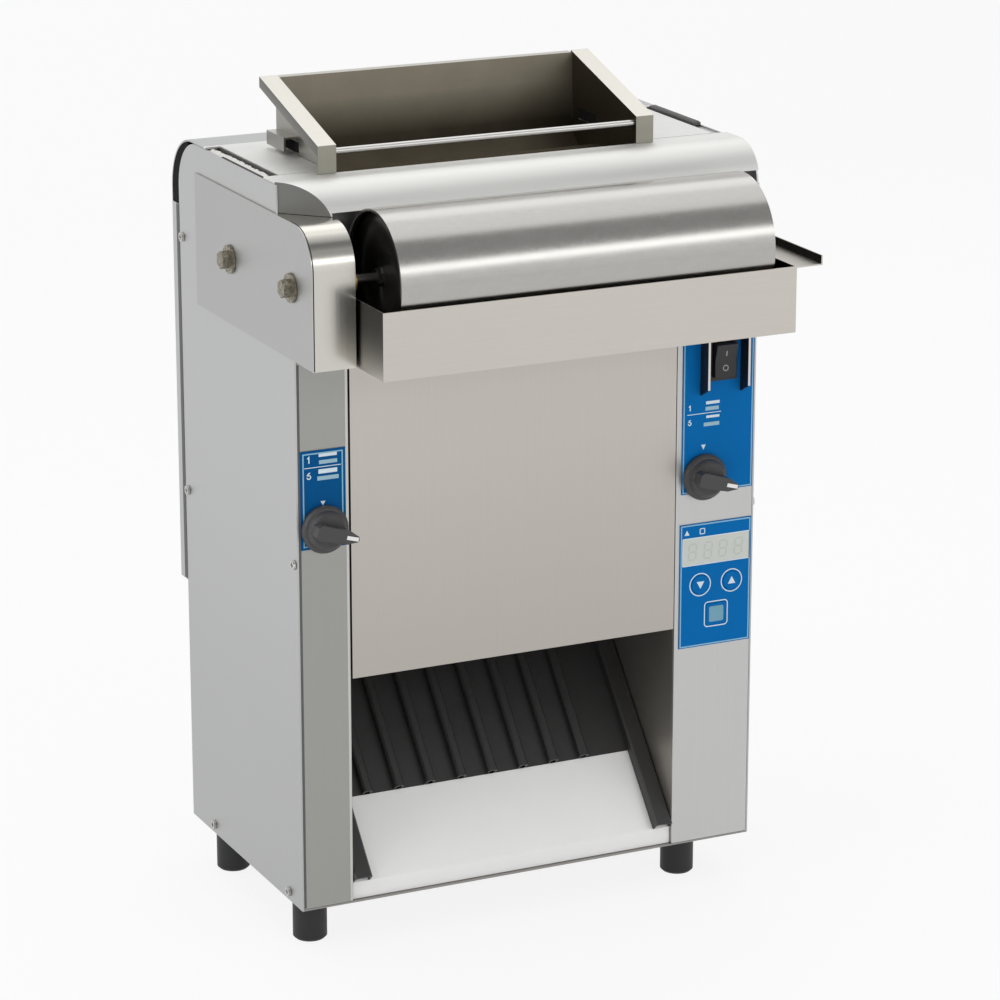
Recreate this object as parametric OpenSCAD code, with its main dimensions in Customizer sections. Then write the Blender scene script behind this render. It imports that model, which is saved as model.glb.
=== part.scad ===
// Vertical contact toaster with a butter roller on its front.
// Millimetres. The origin is on the floor, under the middle of the whole part.
// +X is to the right as seen from the front, +Y goes to the back and +Z is up.
// Inside place() the body's front face is y = 0 and its middle is x = 0.

/* [Body] */
// Width of the body over both side panels
body_w = 420; // [400:1:460]
// Depth of the body from its front face to its rear panel
body_d = 249; // [245:1:290]
// Height of the body above its feet
body_h = 610; // [600:1:640]
// Thickness of the sheet metal
sheet = 1.5; // [1:0.1:2]
// Width of the left bay, beside the toasting chamber
left_bay_w = 46; // [46:1:60]
// Width of the right bay, which holds the controls
right_bay_w = 75; // [72:1:90]
// Gap at which one piece seats on another
seat = 0.3; // [0.1:0.05:0.4]

/* [Feet] */
// Height of a rubber foot
foot_h = 40; // [30:1:60]
// Diameter of a rubber foot
foot_d = 29; // [24:1:34]
// Distance of the left feet from the left side
foot_in_l = 22; // [20:1:40]
// Distance of the right feet from the right side
foot_in_r = 49; // [30:1:60]
// Distance of the feet from the front and the back
foot_in_y = 38; // [30:1:50]

/* [Hood] */
// Outer radius of the hood's front edge
hood_r = 33; // [28:1:36]
// Depth of the flat top from the front face to the seam with the rear cover
hood_d = 190; // [188:1:195]
// Height of the hood's front lip below the top
hood_lip = 22; // [18:1:26]
// Width of the sunk strips along both edges of the top
strip_w = 13; // [8:1:16]
// Where the sunk strips start behind the front face
strip_y0 = 58; // [50:1:70]
// Where the sunk strips end behind the front face
strip_y1 = 185; // [170:1:186]
// How far the strips are sunk below the top
strip_drop = 3; // [2:0.5:5]

/* [Rear cover] */
// How far the rear cover stands out behind the body
rear_out = 16; // [12:1:22]
// Outer radius of the rear cover's top edge
rear_r = 47; // [40:1:50]
// Radius of the side panels' rear top corner
panel_r = 42; // [34:1:44]
// Height of the rear cover's bottom edge above the body's bottom
rear_z = 217; // [150:1:240]

/* [Front] */
// Height of the discharge opening, as a share of the body's height
opening_share = 0.3238; // [0.26:0.0001:0.34]
// Depth of the recess shelf below the body's top
shelf_drop = 138.4; // [130:0.1:145]
// Depth of the recess behind the roller
recess_d = 28.5; // [27:0.5:30]
// Gap beside the front cover
cover_gap = 1.5; // [0.5:0.1:3]
// Depth of the flanges on covers and columns
flange_d = 14; // [8:1:18]

/* [Side cap] */
// How far the cap stands out in front of the body
cap_out = 43.5; // [40:0.5:50]
// How far the cap's side plate reaches back
cap_back = 207; // [150:1:215]
// Width of the cap's front strip
cap_w = 35; // [30:1:40]
// Depth of the cap's bottom below the body's top
cap_low_drop = 137.5; // [130:0.5:138]
// Depth of the cap's top below the body's top
cap_high_drop = 25; // [22:1:30]
// Radius of the cap's front top edge
cap_r = 34; // [20:1:38]
// Diameter of the washers of the cap bolts
washer_d = 24; // [16:1:28]
// Size of the cap bolts' hex heads across the flats
hex_af = 13; // [10:1:17]
// Thickness of the cap bolts' hex heads
hex_h = 7; // [5:0.5:9]

/* [Feeder] */
// Gap between the chamber's left wall and the feeder
feeder_in_l = 12; // [8:1:24]
// Gap between the feeder and the chamber's right wall
feeder_in_r = 17; // [14:1:26]
// Front face of the feeder behind the body's front
feeder_y0 = 46; // [42:1:50]
// Rear edge of the feeder behind the body's front
feeder_y1 = 168; // [160:1:175]
// Height of the feeder's front edge above the top
feeder_z0 = 23; // [20:1:40]
// Height of the feeder's rear edge above the top
feeder_z1 = 59; // [45:1:80]
// Width of the feeder's flanges
feeder_flange = 16; // [10:1:18]
// Diameter of the rod across the feeder
rod_d = 5; // [4:0.5:7]

/* [Butter roller] */
// Outer diameter of the roller
drum_d = 109; // [90:1:110]
// Wall of the roller
drum_wall = 2; // [1.5:0.5:4]
// Distance of the roller's left end from the body's left side
drum_in_l = 55; // [50:1:60]
// Distance of the roller's right end from the body's right side
drum_in_r = 33; // [30:1:60]
// Distance of the roller's axis in front of the body
drum_out = 33; // [32:1:36]
// Depth of the roller's axis below the body's top
drum_drop = 68.6; // [66:0.1:69]
// Diameter of the roller's axle
axle_d = 8; // [6:1:10]
// Depth of the recess at each end of the roller
drum_recess = 6; // [4:1:10]

/* [Pan] */
// Distance of the pan's left end from the body's left side
pan_in_l = 37.3; // [36:0.1:40]
// Distance of the pan's right end from the body's right side
pan_in_r = 14.7; // [8:0.1:22]
// How far the pan stands out in front of the body
pan_out = 91; // [89:1:100]
// How far the pan reaches into the recess
pan_in = 24; // [20:1:25]
// Height of the pan
pan_h = 55.2; // [50:0.1:58]
// Width of the handle at the pan's right end
handle_w = 24; // [20:1:30]
// Length of the handle
handle_len = 87; // [50:1:88]
// Height of the handle's turned up lip
handle_lip = 7; // [6:1:14]

/* [Conveyors] */
// Radius of a conveyor roller
roller_r = 13; // [11:0.5:13]
// Thickness of a conveyor belt
belt_t = 1.2; // [1:0.1:1.5]
// Distance of the front conveyor's middle behind the front face
front_y = 48; // [46:1:49]
// Distance between the middles of both conveyors, which is the gears' pitch diameter
conveyor_pitch = 94.5; // [93:0.5:97]
// Depth of the drive shafts below the body's top
drive_drop = 60; // [60:1:64]
// Height of the idler shafts, as a share of the body's height
idler_share = 0.4459; // [0.43:0.0001:0.475]
// Diameter of the conveyor shafts
shaft_d = 10; // [8:1:12]
// Radial clearance of a shaft in its bush
run_gap = 0.05; // [0.02:0.01:0.1]
// Number of teeth of a drive gear
gear_teeth = 63; // [45:1:70]
// Number of teeth of a chain sprocket
sprocket_teeth = 12; // [10:1:14]
// Pitch of the drive chain
chain_pitch = 9.525; // [8:0.005:10]
// Distance of the motor shaft behind the front face
motor_y = 190; // [180:1:195]
// Height of the motor shaft, as a share of the body's height
motor_share = 0.6508; // [0.62:0.0001:0.69]

/* [Heater] */
// Thickness of the heated platen
platen_t = 18; // [16:1:20]
// How far the heated platen reaches below the idler shafts
platen_low = 10; // [4:1:30]
// Diameter of the heating element
element_d = 8; // [6:0.5:9]
// Thickness of the release sheet
release_t = 0.5; // [0.4:0.1:1]

/* [Chute] */
// Angle of the chute
chute_a = 49; // [46:0.5:50]
// Flat width between the left rail and the middle of the first rib
rib_first = 18.9; // [12:0.1:26]
// Least flat width between the last rib's middle and the right rail
rib_last = 40; // [20:1:46]
// Distance between the middles of two ribs
rib_pitch = 29.1; // [27:0.1:30]
// Width of a rib
rib_w = 8; // [5:0.5:10]
// Height of a rib
rib_h = 7; // [4:0.5:9]

/* [Controls] */
// Diameter of a knob
knob_d = 40; // [34:1:42]
// How far a knob stands out
knob_h = 22; // [16:1:26]
// Height of the knobs, as a share of the body's height
knob_share = 0.541; // [0.533:0.001:0.549]
// Distance of the left knob from the body's left side
knob_in_l = 23; // [22:1:24]
// Distance of the right knob from the body's right side
knob_in_r = 49.5; // [46:0.5:50]
// Distance of the switch from the body's right side
switch_in = 33; // [31:0.5:35]
// Distance from the shelf under the roller down to the switch's middle
switch_drop = 40.1; // [38:0.1:43]
// How far the guard stands out beside the switch
guard_out = 14; // [8:1:18]

/* [Hidden] */
$fn = 64;
eps = 0.01;

left = -body_w / 2;
right = body_w / 2;
left_in = left + sheet + seat;
right_in = right - sheet - seat;
chamber_l = left + left_bay_w;
chamber_r = right - right_bay_w;
bottom = foot_h;
top = foot_h + body_h;
under_top = top - sheet - seat;
recess_z = top - shelf_drop;

// Height from the floor of a share of the body's height, to half a millimetre
function share_z(share) = bottom + round(2 * share * body_h) / 2;
cap_low = top - cap_low_drop;
cap_high = top - cap_high_drop;
back_in = body_d - sheet - seat;

feeder_x0 = chamber_l + feeder_in_l;
feeder_x1 = chamber_r - feeder_in_r;
drum_x0 = left + drum_in_l;
drum_x1 = right - drum_in_r;
pan_x0 = left + pan_in_l;
pan_x1 = right - pan_in_r;
knob_lx = left + knob_in_l;
knob_rx = right - knob_in_r;
switch_x = right - switch_in;
washer_t = 2;

handle_end = pan_x1 + handle_w;
bolt_end = left - seat - sheet - seat - washer_t - hex_h;
mid_x = (handle_end + bolt_end) / 2;
mid_y = (body_d + rear_out - pan_out) / 2;

module place() translate([-mid_x, -mid_y, 0]) children();

// Basic forms
module box(x0, x1, y0, y1, z0, z1) translate([x0, y0, z0]) cube([x1 - x0, y1 - y0, z1 - z0]);
module yz(x0, x1) translate([x0, 0, 0]) rotate([90, 0, 90]) linear_extrude(x1 - x0) children();
module xz(y0, y1) translate([0, y1, 0]) rotate([90, 0, 0]) linear_extrude(y1 - y0) children();
module rod_x(x0, x1, y, z, d) translate([x0, y, z]) rotate([0, 90, 0]) cylinder(d = d, h = x1 - x0);
module rod_y(y0, y1, x, z, d) translate([x, y1, z]) rotate([90, 0, 0]) cylinder(d = d, h = y1 - y0);
module hex_x(x0, x1, y, z, af)
    translate([x0, y, z]) rotate([0, 90, 0]) cylinder(d = af / cos(30), h = x1 - x0, $fn = 6);
module rect(x0, x1, y0, y1) translate([x0, y0]) square([x1 - x0, y1 - y0]);

// A quarter ring in the quadrant given by the signs of a and b
module quarter_ring(cx, cy, r, t, a, b) {
    translate([cx, cy]) intersection() {
        difference() {
            circle(r);
            circle(r - t);
        }
        rect(min(0, a * r), max(0, a * r), min(0, b * r), max(0, b * r));
    }
}

// Places of the feet and of the screws in the side panels, as (depth, height)
foot_spots = [for (x = [left + foot_in_l, right - foot_in_r], y = [foot_in_y, body_d - foot_in_y]) [x, y]];
low_screw_in = 52;
rear_screw_y = body_d - 7;
front_screw_y = 6;
low_screw_z = bottom + 8;
mid_screw_z = share_z(0.4918);
high_screw_z = top - 87;
side_spots = [
    [rear_screw_y, high_screw_z], [rear_screw_y, mid_screw_z], [front_screw_y, mid_screw_z],
    [body_d - low_screw_in, low_screw_z], [foot_in_y - 10, low_screw_z],
];
screw_d = 3;
screw_hole = screw_d + 0.6;

module side_holes(x0, x1) for (s = side_spots) rod_x(x0 - 1, x1 + 1, s[0], s[1], screw_hole);

// Base
base_flange = 16;
module base_plate() {
    color("silver") place() difference() {
        union() {
            box(left_in, right_in, 0, back_in, bottom, bottom + sheet);
            for (x = [left_in, right_in - sheet])
                box(x, x + sheet, flange_d + seat, back_in, bottom, bottom + base_flange);
        }
        for (s = foot_spots) translate([s[0], s[1], bottom - 1]) cylinder(d = 7, h = sheet + 2);
        side_holes(left_in, right_in);
    }
}

foot_chamfer = 2;
module feet() {
    color("#262626") place() for (s = foot_spots) translate([s[0], s[1], 0]) {
        rotate_extrude() difference() {
            polygon([
                [0, 0], [foot_d / 2 - foot_chamfer, 0], [foot_d / 2, foot_chamfer],
                [foot_d / 2, foot_h - seat], [3, foot_h - seat], [3, foot_h + 10], [0, foot_h + 10],
            ]);
            rect(-1, 6, -1, 6);
        }
    }
}

// Side panels, drawn in the (depth, height) plane
module panel_outline(notch) {
    difference() {
        rect(0, body_d, bottom, under_top);
        difference() {
            rect(-1, hood_r, top - hood_r, top);
            translate([hood_r, top - hood_r]) circle(hood_r - sheet - seat);
        }
        difference() {
            rect(body_d - panel_r, body_d + 1, under_top - panel_r, top);
            translate([body_d - panel_r, under_top - panel_r]) circle(panel_r);
        }
        if (notch) rect(-1, hood_r, cap_high - sheet - seat, top);
    }
}

module side_panel(notch) {
    difference() {
        union() {
            yz(left, left + sheet) panel_outline(notch);
            box(left + eps, left + strip_w, strip_y0, strip_y1, top - strip_drop - sheet, top - strip_drop);
        }
        side_holes(left, left + sheet);
        if (notch) for (s = cap_bolt_spots) rod_x(left - 1, left + 3, s[0], s[1], cap_bolt_hole + 1);
    }
}

module left_side_panel() color("#c4c5c6") place() side_panel(true);
module right_side_panel() color("#c4c5c6") place() mirror([1, 0, 0]) side_panel(false);

screw_head_d = 8;
screw_head_h = 2.2;
module panel_screws() {
    color("#a8a8a8") place() for (m = [0, 1], s = side_spots) mirror([m, 0, 0]) {
        rod_x(left - seat - screw_head_h, left - seat, s[0], s[1], screw_head_d);
        rod_x(left - seat - eps, left + 7, s[0], s[1], screw_d);
    }
}

// Frame plates on both sides of the chamber, drawn in the (depth, height) plane
frame_top = top - 10;
frame_front = sheet + seat;
frame_back = body_d - 8;

cable_hole_y = body_d - 34;
cable_hole_d = 24;
drive_z = top - drive_drop;
idler_z = share_z(idler_share);
motor_z = share_z(motor_share);
rear_y = front_y + conveyor_pitch;
platen_y = front_y + conveyor_pitch / 2;
bush_wall = 3;
bush_d = shaft_d + 2 * bush_wall;
bush_hole = bush_d + 2 * seat;
shaft_spots = [[front_y, drive_z], [rear_y, drive_z], [front_y, idler_z], [rear_y, idler_z]];
arm_w = 20;
arm_slot = 14;

module frame_outline() {
    difference() {
        rect(frame_front, frame_back, bottom + sheet + seat, frame_top);
        rect(0, recess_d + seat, recess_z - sheet - seat, top);
        for (s = shaft_spots) translate(s) circle(d = bush_hole);
    }
}

module frame_plate(x0, arm_y) {
    outward = x0 < 0 ? x0 - flange_d + sheet : x0;
    difference() {
        union() {
            yz(x0, x0 + sheet) frame_outline();
            box(outward, outward + flange_d, frame_front, frame_back, bottom + sheet + seat,
                bottom + 2 * sheet + seat);
            box(outward, outward + flange_d, 60, frame_back, frame_top - sheet, frame_top);
        }
        box(x0 - 1, x0 + sheet + 1, arm_y - arm_slot, arm_y + arm_slot, knob_axis_z - arm_w / 2 - 1,
            knob_axis_z + arm_w / 2 + 1);
        rod_x(x0 - 1, x0 + sheet + 1, cable_hole_y, idler_z, cable_hole_d);
    }
}

module left_frame_plate() color("#b9b9b7") place() frame_plate(chamber_l - sheet, rear_arm_y);
module right_frame_plate() {
    color("#b9b9b7") place() difference() {
        frame_plate(chamber_r, front_arm_y);
        for (z = [element_z[0], element_z[element_rows - 1]])
            rod_x(chamber_r - 1, chamber_r + 3, platen_y, z, element_d + 3);
    }
}

// Front columns and cover
knob_axis_z = share_z(knob_share);
column_top = recess_z - sheet - 2 * seat;
column_z0 = bottom + sheet + seat;
spindle_bush_d = 12;
spindle_hole = spindle_bush_d + 2 * seat;

module column_profile(x0, x1, flange_x) {
    rect(x0, x1, 0, sheet);
    rect(flange_x, flange_x + sheet, 0, flange_d);
}

module left_column() {
    color("#cfd0d0") place() difference() {
        translate([0, 0, column_z0])
            linear_extrude(column_top - column_z0) column_profile(left_in, chamber_l - seat, left_in);
        rod_y(-1, sheet + 1, knob_lx, knob_axis_z, spindle_hole);
        side_holes(left_in, left_in + sheet);
    }
}

switch_axis_z = recess_z - switch_drop;
switch_w = 22.4;
switch_h = 33.8;
control_z0 = share_z(0.2926);
control_z1 = control_z0 + 110.2;
display_x0 = right - 67.5;
display_x1 = right - 4;
display_z1 = control_z1 - 13;
display_z0 = display_z1 - 23.5;
key_d = 16;
start_w = 19;
down_spot = [right - 50.6, display_z0 - 18.3];
up_spot = [right - 20.4, display_z0 - 18.3];
start_spot = [right - 35, display_z0 - 46];

module control_holes(y0, y1, extra) {
    rod_y(y0, y1, knob_rx, knob_axis_z, spindle_hole);
    box(switch_x - switch_w / 2 - extra, switch_x + switch_w / 2 + extra, y0, y1,
        switch_axis_z - switch_h / 2 - extra, switch_axis_z + switch_h / 2 + extra);
    for (x = [switch_x - fin_x, switch_x + fin_x - guard_t])
        box(x - extra, x + guard_t + extra, y0, y1, guard_z0 - extra, guard_z1 + extra);
    box(display_x0 - extra, display_x1 + extra, y0, y1, display_z0 - extra, display_z1 + extra);
    rod_y(y0, y1, down_spot[0], down_spot[1], key_d + 2 * extra);
    rod_y(y0, y1, up_spot[0], up_spot[1], key_d + 2 * extra);
    box(start_spot[0] - start_w / 2 - extra, start_spot[0] + start_w / 2 + extra, y0, y1,
        start_spot[1] - start_w / 2 - extra, start_spot[1] + start_w / 2 + extra);
}

module right_column() {
    color("#cfd0d0") place() difference() {
        translate([0, 0, column_z0])
            linear_extrude(column_top - column_z0) column_profile(chamber_r + seat, right_in,
                right_in - sheet);
        control_holes(-1, sheet + 1, seat);
        side_holes(right_in - sheet, right_in);
    }
}

cover_x0 = chamber_l + cover_gap;
cover_x1 = chamber_r - cover_gap / 3;
cover_z0 = share_z(opening_share);
module front_cover() {
    color("#cdcac4") place() {
        box(cover_x0, cover_x1, 0, sheet, cover_z0, column_top);
        box(cover_x0, cover_x0 + sheet, 0, flange_d, cover_z0, column_top);
        box(cover_x1 - sheet, cover_x1, 0, flange_d, cover_z0, column_top);
        box(cover_x0, cover_x1, 0, flange_d, cover_z0, cover_z0 + sheet);
        box(cover_x0, cover_x1, 0, flange_d, column_top - sheet, column_top);
    }
}

// Recess behind the roller: a shelf and a back wall bent from one sheet
recess_x0 = left + cap_w + seat;
module recess_panel() {
    color("#8f908f") place() yz(recess_x0, right_in) {
        rect(0, recess_d, recess_z - sheet, recess_z);
        rect(recess_d - sheet, recess_d, recess_z - sheet, top - 4);
    }
}

// Rear panel and cover
rear_flange = 14;
module rear_panel() {
    color("#bfbfbe") place() difference() {
        union() {
            box(left_in, right_in, body_d - sheet, body_d, bottom + 2, rear_top);
            box(left_in, left_in + sheet, body_d - rear_flange, body_d, bottom + base_flange + seat,
                rear_top);
            box(right_in - sheet, right_in, body_d - rear_flange, body_d, bottom + base_flange + seat,
                rear_top);
        }
        side_holes(left_in, right_in);
        rod_y(body_d - 3, body_d + 1, gland_x, gland_z, gland_d + 2 * seat);
        for (i = [0:vent_n - 1])
            box(-vent_w / 2, vent_w / 2, body_d - 3, body_d + 1, bottom + 60 + i * vent_pitch,
                bottom + 60 + vent_h + i * vent_pitch);
    }
}
rear_top = under_top - panel_r - seat;
gland_x = right - 50;
gland_z = bottom + 40;
gland_d = 20;
vent_n = 8;
vent_w = 0.286 * body_w;
vent_pitch = 12;
vent_h = 4;
vent_z = top - 210;

rear_face = body_d + rear_out;
module rear_cover() {
    arc_y = rear_face - rear_r;
    arc_z = top - rear_r;
    low = bottom + rear_z;
    color("#c9c9c8") place() difference() {
        union() {
            yz(left, right) {
                rect(rear_face - sheet, rear_face, low, arc_z);
                quarter_ring(arc_y, arc_z, rear_r, sheet, 1, 1);
                rect(hood_d + seat, arc_y, top - sheet, top);
            }
            for (x = [left, right - sheet])
                box(x, x + sheet, body_d + seat, rear_face, low, trim_z - seat);
            box(left, right, body_d + seat, rear_face, low, low + sheet);
        }
        for (i = [0:vent_n - 1], x = [-0.8 * vent_w, 0.8 * vent_w])
            box(x - vent_w / 2, x + vent_w / 2, rear_face - 3, rear_face + 1,
                vent_z + i * vent_pitch, vent_z + vent_h + i * vent_pitch);
    }
}

// Black trims that close the rounded rear corners of the cover
trim_z = under_top - panel_r - 16;
trim_w = 10;
module trim_outline() {
    arc_y = rear_face - rear_r;
    arc_z = top - rear_r;
    difference() {
        union() {
            translate([arc_y, arc_z]) circle(rear_r - sheet - seat);
            rect(arc_y, rear_face - sheet - seat, trim_z, arc_z);
        }
        translate([body_d - panel_r, under_top - panel_r]) circle(panel_r + seat);
        rect(0, body_d + seat, 0, under_top - panel_r);
        rect(0, body_d - 24, 0, top);
        rect(0, rear_face, 0, trim_z);
    }
}
module corner_trims() {
    color("#1e1e1e") place() for (x = [left, right - trim_w]) yz(x, x + trim_w) trim_outline();
}

// Hood: the top plate, its round front edge and the wall over the side cap
module hood_outline(solid, low) {
    intersection() {
        union() {
            difference() {
                translate([hood_r, top - hood_r]) circle(hood_r);
                if (!solid) translate([hood_r, top - hood_r]) circle(hood_r - sheet);
                rect(hood_r, 2 * hood_r + 1, 0, top + 1);
            }
            rect(hood_r, hood_d, solid ? top - hood_r : top - sheet, top);
        }
        rect(-1, hood_d, low, top + 1);
    }
}
cut_x = cap_w;
bend = sheet / sqrt(2);
module corner_prism(z0, z1, inset) {
    translate([0, 0, z0]) linear_extrude(z1 - z0) polygon([
        [left - 1, -10 - inset], [left + cut_x + 10 - inset, -10 - inset], [left + cut_x - inset, 0 - inset],
        [left - 1, cut_x - inset + 1],
    ]);
}
seam_w = 1;
guide_low = 34;
guide_y = front_y + 10;
module hood() {
    hole_x0 = feeder_x0 - sheet - seat;
    hole_x1 = feeder_x1 + sheet + seat;
    hole_y0 = feeder_y0 + 2;
    color("#d2d2d1") place() {
        difference() {
            union() {
                yz(left, right) hood_outline(false, top - hood_lip);
                yz(feeder_x0 + seat, feeder_x1 - seat) polygon([
                    [hole_y0 - sheet, top - sheet / 2], [hole_y0, top - sheet / 2], [hole_y0, top - 6],
                    [guide_y, top - guide_low], [guide_y - sheet, top - guide_low], [hole_y0 - sheet,
                        top - 6],
                ]);
            }
            corner_prism(0, top + 1, 0);
            box(hole_x0, hole_x1, hole_y0, feeder_y1 + seat, top - sheet - eps, top + 5);
            for (m = [0, 1]) mirror([m, 0, 0])
                box(left - 1, left + strip_w + seat, strip_y0, strip_y1, top - 5, top + 1);
            for (x = [[left + strip_w, feeder_x0 - feeder_flange], [feeder_x1 + feeder_flange,
                right - strip_w]])
                box(x[0], x[1], strip_y0, strip_y0 + seam_w, top - sheet / 2, top + 1);
        }
        intersection() {
            yz(left_in, left + cut_x) hood_outline(true, cap_high + seat);
            difference() {
                corner_prism(cap_high + seat, top + 1, -bend);
                corner_prism(0, top + 1, 0);
            }
        }
    }
}

// Side cap that carries the roller's left end
cap_front = -cap_out;
module cap_outline(inset) {
    r = cap_r - inset;
    union() {
        rect(cap_front + inset, cap_back, cap_low, cap_high - cap_r);
        rect(cap_front + cap_r, cap_back, cap_low, cap_high - inset);
        translate([cap_front + cap_r, cap_high - cap_r]) circle(r);
    }
}
cap_x0 = left - seat - sheet;
cap_bolt_hole = 7;
cap_bolt_spots = [[129.3, cap_high - 57.3], [-1, cap_high - 53]];
module side_cap() {
    color("#bcbdc0") place() difference() {
        union() {
            yz(cap_x0, cap_x0 + sheet) cap_outline(0);
            difference() {
                yz(cap_x0, left + cap_w) intersection() {
                    cap_outline(0);
                    rect(cap_front - 1, hood_r, cap_low, cap_high + 1);
                }
                yz(cap_x0 - 1, left + cap_w - sheet) difference() {
                    cap_outline(sheet);
                    rect(cap_front, hood_r, cap_low - 1, cap_low + sheet);
                }
                box(left - seat, left + cap_w - sheet, -seat, hood_r + 1, cap_low - 1,
                    cap_high - sheet - eps);
                box(left - seat, left + cap_w + 1, recess_d - sheet - seat, hood_r + 1, 0,
                    cap_high - sheet - eps);
                difference() {
                    box(left - seat, left + cap_w + 1, 0, hood_r + 2, cap_high - sheet - 2 * eps,
                        cap_high + 1);
                    corner_prism(0, top, -bend);
                }
            }
        }
        rod_x(left + cap_w - 3, left + cap_w + 1, -drum_out, drum_axis_z, bush_hole_axle);
        for (s = cap_bolt_spots) rod_x(cap_x0 - 1, left, s[0], s[1], cap_bolt_hole);
    }
}

module cap_bolts() {
    head = cap_x0 - seat;
    nut = left_in + seat;
    color("#8d8a7e") place() for (s = cap_bolt_spots) {
        rod_x(head - washer_t, head, s[0], s[1], washer_d);
        hex_x(head - washer_t - hex_h, head - washer_t + eps, s[0], s[1], hex_af);
        rod_x(head - eps, nut + 6, s[0], s[1], 6);
        difference() {
            hex_x(nut, nut + 5, s[0], s[1], 10);
            rod_x(nut - 1, nut + 6, s[0], s[1], 6.4);
        }
    }
}

// Feeder: two side plates with sloped flanges, a rear plate, a rod and a divider
feeder_slope = (feeder_z1 - feeder_z0) / (feeder_y1 - feeder_y0);
function feeder_edge(y) = top + feeder_z0 + feeder_slope * (y - feeder_y0);
module feeder_band(high, low) {
    polygon([
        [feeder_y0, feeder_edge(feeder_y0) - high], [feeder_y1, feeder_edge(feeder_y1) - high],
        [feeder_y1, feeder_edge(feeder_y1) - low], [feeder_y0, feeder_edge(feeder_y0) - low],
    ]);
}
lip_h = 9;
window_y0 = feeder_y0 + 74;
window_y1 = feeder_y0 + 108;
module feeder_side() {
    x = feeder_x0;
    edge = x - feeder_flange;
    difference() {
        union() {
            yz(x - sheet, x) {
                polygon([
                    [feeder_y0, top + seat], [feeder_y0, feeder_edge(feeder_y0) - eps],
                    [feeder_y1, feeder_edge(feeder_y1) - eps], [feeder_y1, top + seat],
                ]);
                rect(feeder_y0 + 4, feeder_y1 - 2, top - 28, top + 1);
            }
            yz(edge, x) feeder_band(0, sheet * 1.05);
            yz(edge, edge + sheet) feeder_band(0, lip_h);
            box(edge, x, feeder_y0, feeder_y0 + sheet, top + seat, feeder_edge(feeder_y0) - eps);
            box(x - sheet - 10, x - sheet + eps, window_y0 + 8, feeder_y1 - 3, top + 13, top + 13 + sheet);
            box(x - sheet - 10, x - 10, window_y0 + 8, feeder_y1 - 3, top + 3, top + 13 + sheet);
        }
        box(x - sheet - 1, x + 1, window_y0, window_y1, top + 2, top + 11);
    }
}
module feeder_left_side() color("#c3c2bf") place() feeder_side();
module feeder_right_side()
    color("#c3c2bf") place() translate([feeder_x0 + feeder_x1, 0, 0]) mirror([1, 0, 0]) feeder_side();

module feeder_rear_plate() {
    y = feeder_y1 - 2;
    high = feeder_edge(feeder_y1) - sheet;
    color("#c3c2bf") place() yz(feeder_x0 + seat, feeder_x1 - seat) {
        polygon([
            [y - sheet, high], [y + 8, high], [y + 8, high - sheet], [y, high - sheet], [y, top - 8],
            [rear_y - 6, top - guide_low], [rear_y - 6 - sheet, top - guide_low], [y - sheet, top - 8],
        ]);
    }
}

divider_h = 40;
divider_w = 20;
module feeder_divider() {
    low = top - 8 - divider_h;
    color("#b5b5b3") place() yz(feeder_x0 + seat, feeder_x1 - seat) difference() {
        polygon([[platen_y - divider_w / 2, low], [platen_y + divider_w / 2, low], [platen_y,
            low + divider_h]]);
        polygon([
            [platen_y - divider_w / 2 + sheet, low - 1], [platen_y + divider_w / 2 - sheet, low - 1],
            [platen_y, low + divider_h - 5],
        ]);
    }
}

module feeder_rod() {
    color("#dcdcda") place()
        rod_x(feeder_x0 + seat, feeder_x1 - seat, feeder_y0 + 5, feeder_edge(feeder_y0) - 6, rod_d);
}

// Heated platen with its element and the release sheet hung over it
platen_x0 = chamber_l + 14;
platen_x1 = chamber_r - 14;
platen_z1 = drive_z + 6;
platen_z0 = idler_z - platen_low;
platen_h = platen_z1 - platen_z0;
element_rows = 6;
element_margin = 22;
element_pitch = (platen_h - 2 * element_margin) / (element_rows - 1);
element_z = [for (i = [0:element_rows - 1]) platen_z0 + element_margin + i * element_pitch];
element_x0 = platen_x0 + element_pitch / 2 + 15;
element_x1 = platen_x1 - element_pitch / 2 - 16;
element_room = element_d / 2 + seat;
module heated_platen() {
    reach = element_pitch / 2 + element_room;
    color("#9a9a98") place() difference() {
        union() {
            box(platen_x0, platen_x1, platen_y - platen_t / 2, platen_y + platen_t / 2, platen_z0, platen_z1);
            for (z = [platen_z0 + 3, platen_z1 - 13])
                box(chamber_l + seat, chamber_r - seat, platen_y - 5, platen_y + 5, z, z + 10);
        }
        box(element_x0 - reach, element_x1 + reach, platen_y - element_room, platen_y + element_room,
            element_z[0] - element_room, element_z[element_rows - 1] + element_room);
        for (z = [element_z[0], element_z[element_rows - 1]])
            rod_x(element_x1, platen_x1 + 1, platen_y, z, element_d + 2 * seat);
    }
}

module element_bend(x, z, side) {
    translate([x, platen_y, z]) rotate([90, 0, 0])
        rotate_extrude(angle = 180, start = side > 0 ? -90 : 90)
            translate([element_pitch / 2, 0]) circle(d = element_d);
}
module heating_element() {
    last = element_rows - 1;
    color("#3c3a37") place() {
        for (i = [0:last])
            rod_x(element_x0, i == 0 || i == last ? chamber_r + 14 : element_x1, platen_y,
                element_z[i], element_d);
        for (i = [0:last - 1])
            element_bend(i % 2 == 0 ? element_x0 : element_x1, (element_z[i] + element_z[i + 1]) / 2,
                i % 2 == 0 ? -1 : 1);
    }
}

module release_sheet() {
    half = platen_t / 2 + seat;
    color("#c9b58a") place() yz(platen_x0 + 4, platen_x1 - 4) difference() {
        rect(platen_y - half - release_t, platen_y + half + release_t, platen_z0 + 16,
            platen_z1 + seat + release_t);
        rect(platen_y - half, platen_y + half, 0, platen_z1 + seat);
    }
}

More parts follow.
